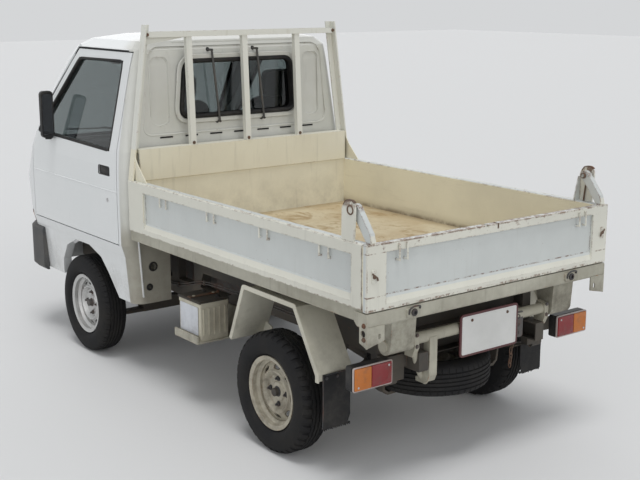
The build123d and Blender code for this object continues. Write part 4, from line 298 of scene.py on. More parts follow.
# After its two colours a paint has: roughness, dirt, the heights where dirt is full and none, rust specks,
# rust at edges, run marks, the dirt's colour, clear coat, and a zone of another colour along an axis
mat = {
    "cab": paint("cab_paint", WHITE, WHITE_SHADE, 0.22, 0.35, 0.35, 0.75, 0.12, 0.0, 0.06, ROAD_FILM, 0.5),
    "roof": paint("roof_paint", WHITE, WHITE_SHADE, 0.24, 0.1, 0.35, 0.75, 0.1, 0.0, 0.08, ROAD_FILM, 0.5,
                  ("Y", -0.47, -0.36, (0.60, 0.60, 0.56))),
    # cab_back: its zone darker below 0.74 to 0.84 m is painted shade in the recess at the foot of the cab's
    # back, mixed with dirt
    "cab_back": paint("cab_back_paint", (0.62, 0.62, 0.58), (0.55, 0.55, 0.50), 0.4, 0.5, 0.3, 1.0, 0.15,
                      0.2, 0.25, (0.20, 0.17, 0.13), 0.0, ("Z", 0.84, 0.74, (0.36, 0.345, 0.29))),
    "bed_side": board("bed_side_paint", "X", 0.668, 0.6835, SIDE_RUST),
    "gate": board("gate_paint", "Y", 1.612, 1.6265, GATE_RUST_AND_SHADOW),
    "headboard": paint("headboard_paint", (0.75, 0.715, 0.575), (0.70, 0.66, 0.525), 0.45, 0.3, 0.8, 1.1,
                       0.3, 0.3, 0.3, zone=("Z", 1.212, 1.218, (0.69, 0.69, 0.63))),
    # bed_under: olive paint whose colours are darkened to stand for the shade under the bed, which is painted
    # shade
    "bed_under": paint("bed_under_paint", (0.46, 0.445, 0.37), (0.33, 0.315, 0.25), 0.6, 0.8, 0.6, 0.86,
                       0.5, 0.4, 0.5),
    "bed_floor": floor_sheet("bed_floor_paint"),
    "frame": paint("frame_paint", (0.035, 0.033, 0.03), (0.07, 0.062, 0.05), 0.65, 0.7, 0.2, 0.9, 0.7, 0.3,
                   0.3, (0.13, 0.105, 0.08)),
    "frame_pale": paint("frame_pale_paint", (0.46, 0.44, 0.36), (0.34, 0.32, 0.25), 0.5, 0.6, 0.3, 0.8, 0.5,
                        0.45, 0.4),
    "fender": paint("fender_paint", (0.60, 0.58, 0.49), (0.50, 0.48, 0.39), 0.45, 0.4, 0.4, 0.75, 0.3, 0.3,
                    0.3),
    # rim_rear: its heavy dirt is partly real brake dirt and partly painted shade standing for the disc's recess
    "rim_rear": paint("rim_rear_paint", (0.52, 0.485, 0.39), (0.38, 0.34, 0.26), 0.4, 0.75, 0.3, 0.8, 0.9,
                      0.5, 0.1),
    "plate": paint("plate_paint", (0.70, 0.70, 0.68), None, 0.35, 0.1, 0.4, 0.8, 0.05, 0.0, 0.05),
    "plate_rim": paint("plate_rim_paint", (0.10, 0.028, 0.032), None, 0.5, 0.3, 0.4, 0.8, 0.4, 0.2, 0.1),
    "guard": paint("guard_paint", (0.05, 0.05, 0.05), (0.09, 0.085, 0.075), 0.45, 0.2, 1.3, 1.7, 0.5, 0.3,
                   0.2),
    "paper": paint("paper_face", (0.66, 0.68, 0.72), (0.56, 0.58, 0.64), 0.6, 0.45, 0.3, 0.6, 0.4, 0.3, 0.2),
    "tyre": plastic("tyre_rubber", (0.011, 0.011, 0.012), 0.72, 0.4, 0.35, (0.045, 0.041, 0.035)),
    "rubber": plastic("rubber_trim", (0.012, 0.012, 0.013), 0.55, 0.15),
    "black": plastic("black_plastic", (0.02, 0.02, 0.021), 0.45, 0.2),
    "bumper": plastic("bumper_plastic", (0.075, 0.077, 0.08), 0.55, 0.35),
    "dash": plastic("dash_plastic", (0.05, 0.05, 0.055), 0.6, 0.15, 0.4),
    "battery": plastic("battery_case_plastic", (0.55, 0.52, 0.42), 0.5, 0.5, 0.2, (0.25, 0.20, 0.14)),
    "lamp_edge": plastic("lamp_edge_plastic", (0.46, 0.40, 0.38), 0.35, 0.5, 0.1, (0.20, 0.15, 0.12)),
    "piping": plastic("seat_piping", (0.018, 0.018, 0.02), 0.5, 0.1),
    "dial": plastic("dial_face", (0.42, 0.42, 0.40), 0.4, 0.05, 0.02),
    "headlining": plastic("headlining_vinyl", (0.40, 0.40, 0.37), 0.7, 0.2, 0.5),
    "rim_front": bare_metal("rim_front_paint", (0.55, 0.55, 0.54), 0.38, 0.12, 0.75),
    "steel": bare_metal("steel_bare", (0.5, 0.5, 0.5), 0.28, 0.15),
    "cast": bare_metal("cast_metal", (0.11, 0.105, 0.10), 0.6, 0.5, 0.4),
    "rusty": bare_metal("rusty_metal", (0.13, 0.085, 0.06), 0.75, 0.8, 0.2),
    "mirror": bare_metal("mirror_silver", (0.30, 0.31, 0.33), 0.03, 0.0, 1.0),
    "chrome": bare_metal("chrome_trim", (0.72, 0.73, 0.74), 0.12, 0.08, 1.0),
    "spring": bare_metal("spring_steel", (0.05, 0.05, 0.052), 0.5, 0.5, 0.3),
    "cloth": cloth("seat_cloth", (0.055, 0.055, 0.06), (0.035, 0.035, 0.04)),
    "glass": glass("window_glass", (0.36, 0.40, 0.40), 0.0, 1.0, 0.03),
    "lamp": glass("lamp_lens", (0.85, 0.88, 0.9), 0.08, 0.75, 0.06),
    "amber": lens("amber_lens", (0.70, 0.20, 0.012)),
    "red": lens("red_lens", (0.30, 0.010, 0.014)),
}

# The frame's nodes and their materials
NODE_MATERIAL = {
    "cab": "cab_front_panel cab_sides door_left door_right",
    "roof": "cab_roof",
    "cab_back": "cab_back_panel",
    "guard": "window_guards",
    "glass": "cab_glass door_glass_left door_glass_right",
    "lamp": "headlamps",
    "amber": "front_indicators",
    "rubber": "rear_window_seal mudflaps",
    "black": "grille mirror_left mirror_right steering_wheel tail_lamps",
    "dash": "dashboard cab_floor",
    "bumper": "front_bumper",
    "frame": "ladder_frame propeller_shaft rear_axle leaf_springs front_suspension fuel_tank "
             "hoist_subframe hoist_barrel",
    "cast": "engine gearbox knuckle_left knuckle_right exhaust",
    "frame_pale": "battery_tray tilt_shaft",
    "fender": "rear_fenders",
    "battery": "battery",
    "plate": "number_plate",
    "bed_floor": "bed_floor",
    "bed_side": "bed_sides",
    "headboard": "headboard",
    "bed_under": "bed_underframe",
    "gate": "tailgate",
    "steel": "hoist_rod",
    "rim_front": "rim_front_left rim_front_right spare_rim",
    "rim_rear": "rim_rear_left rim_rear_right",
}
for key, names in NODE_MATERIAL.items():
    for node_name in names.split():
        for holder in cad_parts[node_name].material_slots:
            holder.material = mat[key]

# Forms: every size from here on is in millimetres, in the frame of the truck
MM = 0.001
SIDES = ((1, "left"), (-1, "right"))
UP = Vector((0, 0, 1))
REAR = Vector((0, 1, 0))
FORE = Vector((0, -1, 0))
FAR = 3000
CAB_SECTION = [(392, 694), (929, 697), (1190, 688), (1410, 651), (1620, 617), (1700, 602)]


def hit(names, place, way):
    """Where a line that comes from afar this way through a place first meets one of these nodes, or None."""
    start = Vector(place) - way * FAR
    found = []
    for name in names.split():
        met, spot, *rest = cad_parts[name].ray_cast(start * MM, way)
        if met:
            found.append(spot / MM)
    return min(found, key=lambda spot: (spot - start).length, default=None)


def hits(names, places, way):
    """Where such lines through several places meet the nodes, without those that miss."""
    found = [hit(names, place, way) for place in places]
    return [spot for spot in found if spot]


def on_door(side, y, z, out=0.0):
    """A place on the cab's outside, or this far out from it."""
    for (z0, x0), (z1, x1) in zip(CAB_SECTION, CAB_SECTION[1:]):
        if z <= z1:
            break
    return Vector((side * (x0 + (x1 - x0) * (min(z, z1) - z0) / (z1 - z0) + out), y, z))


def on_front(x, z, out=0.0):
    """A place on the cab's front as seen from before it, or this far in front of that."""
    place = (x, 0, z)
    found = hit("cab_glass", place, REAR) or hit("cab_front_panel cab_sides cab_roof", place, REAR)
    return found + FORE * out


def centre_of(outline):
    return sum((Vector(p) for p in outline), Vector((0, 0))) / len(outline)


def crossed(axis):
    """An axis of length 1 and two more, square to it and to each other."""
    axis = Vector(axis).normalized()
    across = axis.orthogonal().normalized()
    return axis, across, axis.cross(across)


def circle(radius, count):
    turn = 2 * math.pi / count
    return [(radius * math.cos(k * turn), radius * math.sin(k * turn)) for k in range(count)]


def rounded(points, radius, steps=5):
    """A closed outline of 2-D points with each corner turned into a curve of this radius."""
    made = []
    for index, corner in enumerate(points):
        corner = Vector(corner)
        before = Vector(points[index - 1]) - corner
        after = Vector(points[(index + 1) % len(points)]) - corner
        reach = min(radius, before.length * 0.48, after.length * 0.48)
        start = corner + before.normalized() * reach
        end = corner + after.normalized() * reach
        for step in range(steps + 1):
            t = step / steps
            made.append((1 - t) ** 2 * start + 2 * t * (1 - t) * corner + t * t * end)
    return made


def oblong(wide, tall, radius, steps=4, x=0, y=0):
    """A rounded rectangle of this half width and half height about a middle."""
    left, right, low, high = x - wide, x + wide, y - tall, y + tall
    return rounded([(left, low), (right, low), (right, high), (left, high)], radius, steps)


def smooth_path(points, steps=5):
    """Points on a Catmull-Rom curve through these points."""
    points = [Vector(p) for p in points]
    points = [points[0] * 2 - points[1], *points, points[-1] * 2 - points[-2]]
    made = []
    for a, b, c, d in zip(points, points[1:], points[2:], points[3:]):
        for step in range(steps):
            t = step / steps
            made.append(0.5 * (2 * b + (c - a) * t + (2 * a - 5 * b + 4 * c - d) * t * t
                               + (3 * b - a - 3 * c + d) * t ** 3))
    return [*made, points[-2]]


def at(x, y, z, flip=1):
    """Sets an outline upright and facing the rear about this place, or about its mirror image."""
    return lambda a, b, c: (flip * (x + a), y + c, z + b)


class Form:
    """One piece's mesh, gathered from swept, turned, cut and crowned forms."""

    def __init__(self, paint_key):
        self.mesh = bmesh.new()
        self.paints = []
        self.use(paint_key)

    def use(self, key):
        if key not in self.paints:
            self.paints.append(key)
        self.index = self.paints.index(key)
        return self

    def surface(self, rings, around=True, along=False, caps=False):
        """Quads between rows of points; around and along close the rows and the run of rows."""
        rows = [[self.mesh.verts.new(Vector(p) * MM) for p in ring] for ring in rings]
        run = len(rows) if along else len(rows) - 1
        wide = len(rows[0]) if around else len(rows[0]) - 1
        for i in range(run):
            near, far = rows[i], rows[(i + 1) % len(rows)]
            for j in range(wide):
                k = (j + 1) % len(near)
                self.face((near[j], near[k], far[k], far[j]))
        if caps:
            self.face(rows[0][::-1])
            self.face(rows[-1])

    def face(self, corners):
        self.mesh.faces.new(corners).material_index = self.index

    def sweep(self, path, section, up=UP, closed=False):
        """A section of (sideways, upwards) points along a path."""
        path = [Vector(p) for p in path]
        rings = []
        for index, place in enumerate(path):
            last = path[index - 1] if index or closed else place
            following = path[(index + 1) % len(path)] if index + 1 < len(path) or closed else place
            ahead = (following - last).normalized()
            side = ahead.cross(Vector(up)).normalized()
            over = side.cross(ahead)
            rings.append([place + side * a + over * b for a, b in section])
        self.surface(rings, True, closed, not closed)

    def tube(self, path, radius, sides=10, closed=False, up=UP):
        self.sweep(path, circle(radius, sides), up, closed)

    def band(self, path, width, height, up=UP, closed=False, soft=1.2):
        """A flat bar with softened corners, centred on the path."""
        self.sweep(path, oblong(width / 2, height / 2, soft, 2), up, closed)

    def turned(self, profile, centre, axis, steps=24):
        """A profile of (radius, along) points turned about an axis through centre."""
        axis, across, other = crossed(axis)
        rings = []
        for a, b in circle(1, steps):
            way = across * a + other * b
            rings.append([Vector(centre) + way * r + axis * z for r, z in profile])
        self.surface(rings, False, True)

    def slab(self, outline, place, height, soft=0.0):
        """A closed 2-D outline, set in space by place(a, b, c), thickened from c = 0 to c = height."""
        middle = centre_of(outline)
        levels = [(0, 0), (height, 0)]
        if soft:
            levels = [(0, 0), (height - soft, 0), (height - 0.3 * soft, 0.3 * soft), (height, soft)]
        rings = []
        for level, inset in levels:
            ring = []
            for p in outline:
                away = Vector(p) - middle
                share = 1 - inset / max(away.length, 1)
                ring.append(place(*(middle + away * share), level))
            rings.append(ring)
        self.surface(rings, True, False, True)

    def block(self, low, high, soft=2.0):
        """A bar between two corners with worn edges."""
        low, high = Vector(low) * MM, Vector(high) * MM
        matrix = Matrix.Translation((low + high) / 2) @ Matrix.Diagonal((*(high - low), 1))
        made = bmesh.ops.create_cube(self.mesh, size=1, matrix=matrix)["verts"]
        edges = {e for v in made for e in v.link_edges}
        result = bmesh.ops.bevel(self.mesh, geom=list(edges), offset=soft * MM, segments=2, affect="EDGES",
                                 clamp_overlap=True)
        for made_face in {f for v in result["verts"] for f in v.link_faces}:
            made_face.material_index = self.index

    def bolt(self, place, way, size=6.0, washer=True):
        """A hexagon head of this half width across flats, chamfered, on a washer."""
        if washer:
            self.turned([(0.1, 0), (size * 1.5, 0), (size * 1.5, 1.2), (size, 1.6)], place, way, 16)
        self.turned([(size * 1.12, 1), (size * 1.12, size * 0.85), (size * 0.95, size), (0.1, size)], place,
                    way, 6)

    def done(self, name, body="chassis", smooth=32):
        """Makes the object, with shading smooth apart from edges sharper than this angle."""
        bmesh.ops.recalc_face_normals(self.mesh, faces=self.mesh.faces)
        limit = math.radians(smooth)
        for made_face in self.mesh.faces:
            made_face.smooth = True
        for edge in self.mesh.edges:
            if len(edge.link_faces) == 2 and edge.calc_face_angle() > limit:
                edge.smooth = False
        data = bpy.data.meshes.new(name)
        self.mesh.to_mesh(data)
        self.mesh.free()
        for key in self.paints:
            data.materials.append(mat[key])
        made = bpy.data.objects.new(name, data)
        bpy.context.scene.collection.objects.link(made)
        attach(made, body)
        return made


# Tyres: points (along, radius) across half a tread, where a lug stands and where a gap runs between lugs
FRONT_Y = -875
REAR_Y = 945
WHEEL_X = 605
WHEEL_Z = 272
LUG_RISE = 0.06
SIDEWALL = [(67, 250), (70, 238), (71.5, 233), (71.5, 229), (72.5, 226), (72.5, 205), (70.5, 190), (66, 183),
            (63, 180), (61, 176), (54, 172), (48, 168), (47.5, 160), (48, 152), (31, 152)]
LUG_MIDDLE = [(0, 272), (7, 272), (8.5, 266), (13, 266), (14.5, 272), (26, 272)]
LUG_ROW = LUG_MIDDLE + [(27.5, 266), (31, 266), (32.5, 272), (41, 271.8), (50, 268.5), (58, 264), (63, 258)]
LUG_GAP = LUG_MIDDLE + [(27.5, 265), (31, 264), (32.5, 264), (41, 264), (50, 262), (57, 257), (63, 253)]
RIB_MIDDLE = [(0, 266), (2, 266), (3.5, 272), (15, 272), (16.5, 265.5), (20.5, 265.5)]
RIB_ROW = RIB_MIDDLE + [(22, 272), (34, 272), (35.5, 265.5), (39, 266), (40.5, 271.8), (50, 268.5), (58, 264)]
RIB_GAP = RIB_MIDDLE + [(22, 270.5), (34, 270.5), (35.5, 265.5), (39, 266), (40.5, 269), (50, 265), (58, 261)]

# Row, gap, lugs round the tyre, the share that is gap, and how far the grooves swing
LUGS = (LUG_ROW, LUG_GAP, 40, 0.36, 1.6)
RIBS = (RIB_ROW, RIB_GAP, 54, 0.1, 0.6)


def tyre(node, body, centre, axis, tread):
    """A tyre with its tread cut in, sidewalls with a raised line and a rim guard, in place of the plain one."""
    lug, gap, pitches, gap_share, sway = tread
    form = Form("tyre")
    axis, across, other = crossed(axis)
    for half in (1, -1):
        rings = []
        for pitch in range(pitches):
            shift = 0.5 if half < 0 else 0.0
            for share, row in [(0, gap), (gap_share, gap), (gap_share + LUG_RISE, lug), (1 - LUG_RISE, lug)]:
                angle = 2 * math.pi * (pitch + share + shift) / pitches
                swing = sway if share < gap_share else -sway
                ring = []
                for along, radius in row + SIDEWALL:
                    moved = along + (swing if 5 < along < 35 else 0)
                    turn = angle + 0.25 * math.pi * along / 60 / pitches
                    way = across * math.cos(turn) + other * math.sin(turn)
                    ring.append(Vector(centre) + way * radius + axis * half * moved)
                rings.append(ring)
        form.surface(rings, False, True)
    made = form.done(node + "_tread", body, 28)
    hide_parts(node)


# Wheel nuts, hub caps and valves
NUT_RADIUS = 60
NUT_COUNT = 4


def wheel_trim(name, body, centre, out, paint_key):
    form = Form(paint_key)
    out, across, other = crossed(out)
    for index in range(NUT_COUNT):
        angle = 2 * math.pi * (index + 0.5) / NUT_COUNT
        place = centre + (across * math.cos(angle) + other * math.sin(angle)) * NUT_RADIUS + out * 12
        form.bolt(place, out, 9.5)
        form.turned([(5.5, 8), (5.5, 17), (4.5, 19), (0.1, 19)], place, out, 12)
    form.turned([(24, 18), (24, 20), (19, 22), (18, 30), (15, 35), (8, 38), (0.1, 39)], centre, out, 28)
    valve = centre + across * 126 + out * 14
    stem = [valve, valve + out * 12 - across * 3, valve + out * 24 - across * 8]
    form.use("rubber").tube(stem, 3.2, up=other)
    form.done(name, body)


AXLES = [("front", FRONT_Y, RIBS, "cast"), ("rear", REAR_Y, LUGS, "spring")]
for side, end in SIDES:
    for axle, axle_y, tread, paint_key in AXLES:
        wheel = f"{axle}_{end}"
        centre = Vector((side * WHEEL_X, axle_y, WHEEL_Z))
        tyre("tyre_" + wheel, "wheel_" + wheel, centre, (1, 0, 0), tread)
        wheel_trim("wheel_nuts_" + wheel, "wheel_" + wheel, centre, (side, 0, 0), paint_key)
tyre("spare_tyre", "chassis", (60, 1300, 385), UP, RIBS)

# Doors: window seals, handles, locks, mirrors and waist creases, and the drip rails over them
WINDOW = [(-1352, 1203), (-912, 1640), (-405, 1643), (-453, 1180)]
HANDLE_Y = -513
HANDLE_Z = 1078
LOCK_Y = -478
LOCK_Z = 925
MIRROR_X = 735
MIRROR_Y = -1091
MIRROR_Z = 1319.5
CREASE_Z = 978
GUTTER = [(-1330, 1296), (-1300, 1325), (-1170, 1452), (-938, 1686), (-914, 1696), (-880, 1698), (-600, 1698),
          (-362, 1698)]

for side, end in SIDES:
    door = "door_" + end
    out = Vector((side, 0, 0))
    outline = rounded(WINDOW, 34, 6)
    middle = centre_of(outline)
    rim = [on_door(side, *(p + (middle - p).normalized() * 5), -5) for p in outline]
    seal = Form("rubber")
    seal.sweep(rim, rounded([(-9, -9), (9, -9), (6, 6.5), (-6, 7.5)], 3, 3), out, True)
    seal.done("window_seal_" + end, door)

    handle = Form("black")
    handle.slab(oblong(65, 23.5, 9), lambda a, b, c: on_door(side, HANDLE_Y + a, HANDLE_Z + b, c - 13), 8)
    handle.slab(oblong(55, 14, 7, 4, 0, -1),
                lambda a, b, c: on_door(side, HANDLE_Y + a, HANDLE_Z + 3 + b, c - 9 - 0.0012 * a * a), 9, 2)
    border = [on_door(side, HANDLE_Y + a, HANDLE_Z + b, 0.5) for a, b in oblong(66, 25, 12, 5)]
    handle.band(border, 6, 3.5, out, True)
    handle.done("door_handle_" + end, door)
    lock = Form("steel")
    lock.turned([(11, 0), (11, 1.2), (9.5, 2.4), (7, 2.6), (6.6, 1.6), (0.1, 1.6)],
                on_door(side, LOCK_Y, LOCK_Z), out)
    lock.use("black").block(on_door(side, LOCK_Y - 1, LOCK_Z - 5) - Vector((1, 0, 0)),
                            on_door(side, LOCK_Y + 1, LOCK_Z + 5, 2), 0.3)
    lock.done("door_lock_" + end, door)

    face = Form("black")
    border = oblong(31, 121.5, 20, 6, 0, MIRROR_Z)
    face.band([(side * MIRROR_X + a, MIRROR_Y - 0.5, b) for a, b in border], 5, 5, REAR, True)
    middle = Vector((0, MIRROR_Z))
    face.use("mirror").slab(
        [middle + (p - middle) * 0.93 for p in border],
        lambda a, b, c: (side * MIRROR_X + a, MIRROR_Y + 0.4 + c - 0.00004 * (b - 1320) ** 2, b), 1.2)
    face.use("black").turned([(19, -8), (19, 4), (15, 10), (9, 12), (0.1, 12)], (side * 718, -1118, 1192),
                             -UP, 20)
    face.done("mirror_face_" + end, door)
    crease = Form("cab")
    crease.sweep([on_door(side, -1408, CREASE_Z), on_door(side, -372, CREASE_Z)],
                 [(-5, -2), (5, -2), (3.5, 0.6), (0.4, 3.2), (-2.2, 0.2)], out)
    crease.done("crease_door_" + end, door)

    gutter = Form("cab")
    path = smooth_path([on_door(side, y, z, 0.5) for y, z in GUTTER])
    lean = Vector((side, 0, 0.15))
    gutter.sweep(path, [(-3, -3), (3, -3), (3.5, 4), (1.5, 5), (-2, 2.5)], lean)
    # A black strip under each rail fills the door's shut line: partly the seal, partly painted shadow of the
    # gap and the rail
    gutter.use("rubber").sweep([p - Vector((side * 0.5, -2.5, 6)) for p in path],
                               [(-3.5, -3), (3.5, -3), (3, 1.6), (-3, 1.6)], lean)
    gutter.done("drip_rail_" + end)

# Windscreen: rubber surround and wipers
SCREEN = [(-622, 1125), (622, 1125), (528, 1668), (-528, 1668)]
SCREEN_Z = 1396
glass_low = on_front(0, 1180)
glass_high = on_front(0, 1620)
screen_lean = (glass_high.y - glass_low.y) / (glass_high.z - glass_low.z)
screen_out = Vector((0, -1, screen_lean)).normalized()
rim = [on_front(x * 0.985, SCREEN_Z + (z - SCREEN_Z) * 0.97) + screen_out * 3
       for x, z in rounded(SCREEN, 70, 7)]
seal = Form("rubber")
seal.sweep(rim, rounded([(-13, -5), (13, -5), (9, 6), (-9, 6)], 4, 3), screen_out, True)
seal.done("screen_seal")

wipers = Form("black")
for pivot_x, tip_x in [(-500, -30), (-20, 440)]:
    reach = tip_x - pivot_x
    foot = on_front(pivot_x, 1150, 14)
    foot.z = 1108
    middle = on_front(pivot_x + 0.45 * reach, 1172, 8)
    wipers.turned([(14, 0), (14, 6), (9, 10), (0.1, 11)], foot, screen_out, 20)
    arm = [foot + screen_out * 6, (foot + middle) / 2 + screen_out * 5, middle]
    wipers.band(smooth_path(arm), 9, 5, screen_out)
    blade = [on_front(pivot_x + share * reach, 1158 + 20 * share, 5) for share in
             (0.12, 0.3, 0.45, 0.6, 0.8, 0.98)]
    wipers.band([p + screen_out * 3 for p in blade], 6, 3, screen_out)
    wipers.band(blade, 2, 9, screen_out, False, 0.5)
    wipers.block(middle - Vector((18, 5, 5)), middle + Vector((18, 5, 5)), 2)
wipers.done("wipers")

# Headlamp rims, bulbs and flutes; indicator rims
BULB_RADIUS = 50
FLUTE_PITCH = 11
for side, end in SIDES:
    out = Vector((side, 0, 0))
    lamp = Form("chrome")
    path = []
    for x, z in oblong(96.5, 65.5, 14, 4, 492.5, 802.5):
        found = hit("headlamps cab_front_panel", (side * x * 0.995, 0, z), REAR)
        path.append(Vector((side * x, found.y - 0.5, z)))
    lamp.band(path, 7, 5, FORE, True)
    lamp.use("black").band([p + REAR * 3 for p in path], 13, 4, FORE, True)
    centre = hit("headlamps", (side * 492, 0, 802), REAR) + FORE
    lamp.use("chrome").turned([(58, 0), (56, -2.5), (52, -3), (50, -1)], centre, REAR, 48)
    lamp.use("lamp")
    for row in range(-4, 5):
        reach = math.sqrt(BULB_RADIUS ** 2 - (row * FLUTE_PITCH) ** 2)
        flute = [centre + Vector((row * FLUTE_PITCH, -1.5, tip)) for tip in (-reach, reach)]
        lamp.band(flute, 3, 2.4, FORE, False, 0.8)
    lamp.done("headlamp_rim_" + end)
    trim = Form("black")
    path = [hit("front_indicators cab_front_panel", (0, y, z), -out) + out * 0.5
            for y, z in oblong(58, 37, 12, 4, -1512, 687)]
    trim.band(path, 5, 3, out, True)
    trim.done("indicator_rim_" + end)

# Cab foot: the flange at its rear edge, and grommets round the holes of its plates
FOOT_SKIN = "cab_back_panel cab_sides"
for side, end in SIDES:
    flange = Form("cab")
    edge = [(side * x, 0, z) for x, z in [(640, 800), (634, 700), (624, 560), (616, 430)]]
    flange.sweep(hits(FOOT_SKIN, edge, FORE), [(-2.5, -4), (2.5, -4), (2, 12), (-2, 12)], REAR)
    flange.use("rubber")
    for x, z, radius in [(553, 586, 18), (577, 479, 11)]:
        y = hit(FOOT_SKIN, (side * (x + radius + 3), 0, z), FORE).y
        ring = [(radius - 2, -3), (radius + 8, -1), (radius + 8, 1.5), (radius + 2, 4), (radius - 2, 3)]
        flange.turned(ring, (side * x, y, z), REAR, 28)
    flange.done("cab_foot_flange_" + end)

# Cab back: window bead, pressed rims, vents and guard ends
BACK_SKIN = "cab_back_panel cab_roof"
BACK_Y = -275
BACK_Z = 1493
BACK_WINDOW = [(-361, 1351), (361, 1351), (334, 1635), (-334, 1635)]
bead = Form("rubber")
bead.tube([(x, BACK_Y + 3, z) for x, z in rounded(BACK_WINDOW, 62, 8)], 10, 10, True, REAR)
bead.done("rear_window_bead")
rim = Form("cab_back")
rim.sweep([(x * 1.075, BACK_Y, BACK_Z + (z - BACK_Z) * 1.16) for x, z in rounded(BACK_WINDOW, 70, 8)],
          [(-13, -2), (13, -2), (9, 4), (-9, 5)], REAR, True)
for z, half in [(1711, 430), (1731, 395)]:
    line = [(x, 0, z) for x in range(-half, half + 1, 60)]
    rim.sweep(hits(BACK_SKIN, line, FORE), [(-4, -3), (4, -3), (3, 1.6), (-3, 1.6)], (0, 1, 0.4))
for outline in (rounded([(-585, 1268), (585, 1268), (540, 1706), (-540, 1706)], 60, 6),
                oblong(54, 174, 60, 6, -478, 1488), oblong(54, 174, 60, 6, 478, 1488)):
    rim.sweep(hits(BACK_SKIN, [(x, 0, z) for x, z in outline], FORE),
              [(-5, -2), (5, -2), (2.5, 3), (-2.5, 3)], REAR, True)
rim.use("rubber")
for x in range(-450, 451, 150):
    rim.block((x - 37, BACK_Y - 2, 1250), (x + 37, BACK_Y + 1.4, 1258), 1)
rim.done("cab_back_pressings")
guard_ends = Form("black")
for x, z in [(181, 1690), (138, 1318), (-100, 1690), (-144, 1318)]:
    y = hit(BACK_SKIN, (x, 0, z + 9), FORE).y
    guard_ends.turned([(0.1, -2), (12, -2), (12, 2), (9, 4), (6, 5), (0.1, 5)], (x, y, z), REAR, 20)
    guard_ends.bolt((x, -249, z), REAR, 4, False)
guard_ends.done("guard_ends")

# Bed: bolts of the headboard and the rear posts, the rail's end gusset, welds
bolts = Form("rusty")
for x in (-338, 0, 338):
    bolts.bolt((x, -190, 1227), REAR)
for side in (1, -1):
    out = Vector((side, 0, 0))
    bolts.bolt((side * 578, -211, 1776), REAR)
    for place in hits("bed_underframe", [(0, 1620, 690), (0, 1620, 745)], -out):
        bolts.bolt(place, out, 7)
bolts.done("bed_bolts", "bed")
gusset = Form("headboard")
gusset.slab([(588, 1763), (340, 1763), (420, 1750), (584, 1726)], at(0, -232, 0), 4, 0.8)
gusset.done("rail_gusset", "bed")

welds = Form("headboard")
for side in (1, -1):
    out = Vector((side, 0, 0))
    for x in (side * 338, 0):
        for across in (-17, 17):
            welds.tube([(x + across, -214 + 24 * t, 1216 + 1.2 * math.sin(t * 30))
                        for t in (0, 0.2, 0.4, 0.6, 0.8, 1)], 2.6, 6)
    for y in (-96, 1536):
        found = hits("bed_sides", [(0, y, z) for z in range(866, 1008, 12)], -out)
        welds.tube([p for p in found if abs(p.x) > 670], 2.2, 6, False, out)
welds.done("bed_welds", "bed")

# Tailgate: latches with levers, pin heads and the notch block; on the bed, the horns' caps, rings and rods
PIN_Y = 1531
PIN_Z = 1180
gate = Form("rusty")
caps = Form("rusty")
for side in (1, -1):
    latch = Vector((side * 662, 1636.5, 936))
    gate.use("gate").slab(oblong(11, 26, 5, 3), at(*latch), 2.5, 0.8)
    gate.use("rusty").turned([(8, 2), (8, 6), (5, 9), (0.1, 9)], latch, REAR, 18)
    lever = [(side * 12, 6, 14), (0, 8, 3), (-side * 10, 8, -4), (-side * 15, 7, -16)]
    gate.band(smooth_path([latch + Vector(p) for p in lever]), 7, 3.5, REAR)
    for out in (-1, 1):
        gate.turned([(0.1, -3), (13, -3), (14, 0), (13, 4), (9, 6), (0.1, 6)],
                    (side * (662 + out * 16), PIN_Y, PIN_Z), (out * side, 0, 0))
    cap = [(1490, 1198), (1502, 1212), (1518, 1217), (1540, 1217), (1554, 1210)]
    caps.band(smooth_path([(side * 689, y, z) for y, z in cap], 4), 11, 4)
    caps.tube([(side * 694, PIN_Y + a, PIN_Z + b) for a, b in circle(17, 16)], 3, 8, True, (side, 0, 0))
    caps.tube(smooth_path([(side * 680, y, z) for y, z in [(1510, 1057), (1514, 1100), (1522, 1157)]]), 3.4)
gate.block((-4, 1608, 1038), (4, 1638, 1060.5), 1.5)
gate.done("gate_fittings", "tailgate")
caps.done("horn_caps", "bed")

catches = Form("spring")
for side in (1, -1):
    place = hit("bed_underframe", (side * 461, 0, 765), FORE)
    catches.turned([(15, 0), (15, 5), (11, 7), (8, 7), (8, 1), (0.1, 1)], place, REAR)
    hook = [(-28, 2, 12), (-26, 6, 22), (-8, 7, 26), (14, 7, 24), (26, 5, 14), (28, 3, -4)]
    catches.tube(smooth_path([place + Vector(p) for p in hook]), 3.6, 8)
catches.done("gate_catches", "bed")

# Tail: lenses, plate rim, carrier parts
LAMP_X = 590
LAMP_Z = 505
LENS_HALF = 95
AMBER_SHARE = 0.45
LENS_SPLIT = LENS_HALF * (1 - 2 * AMBER_SHARE)
for side, end in SIDES:
    lamp = Form("amber")
    for key, inner, outer in [("amber", LENS_SPLIT, LENS_HALF), ("red", -LENS_HALF, LENS_SPLIT)]:
        middle = (inner + outer) / 2
        shape = oblong((outer - inner) / 2 - 0.8, 45, 5, 3, middle)
        lamp.use(key).slab(shape, at(LAMP_X, 1546, LAMP_Z, side), 12, 4)
        for radius in (14, 24, 33):
            ring = [(side * (LAMP_X + middle) + a, 1557, LAMP_Z + b) for a, b in circle(radius, 24)]
            lamp.tube(ring, 1.4, 6, True, REAR)
    lamp.use("lamp_edge")
    lamp.band([(side * (LAMP_X + a), 1549, LAMP_Z + b) for a, b in oblong(98, 48, 7, 3)], 5, 8, REAR, True)
    lamp.use("steel")
    for across, rise in [(-78, 32), (78, -32)]:
        lamp.turned([(4.5, 0), (4.5, 1.5), (3, 2.6), (0.1, 2.6)],
                    (side * (LAMP_X + across), 1557.5, LAMP_Z + rise), REAR, 14)
    lamp.done("lamp_lenses_" + end)

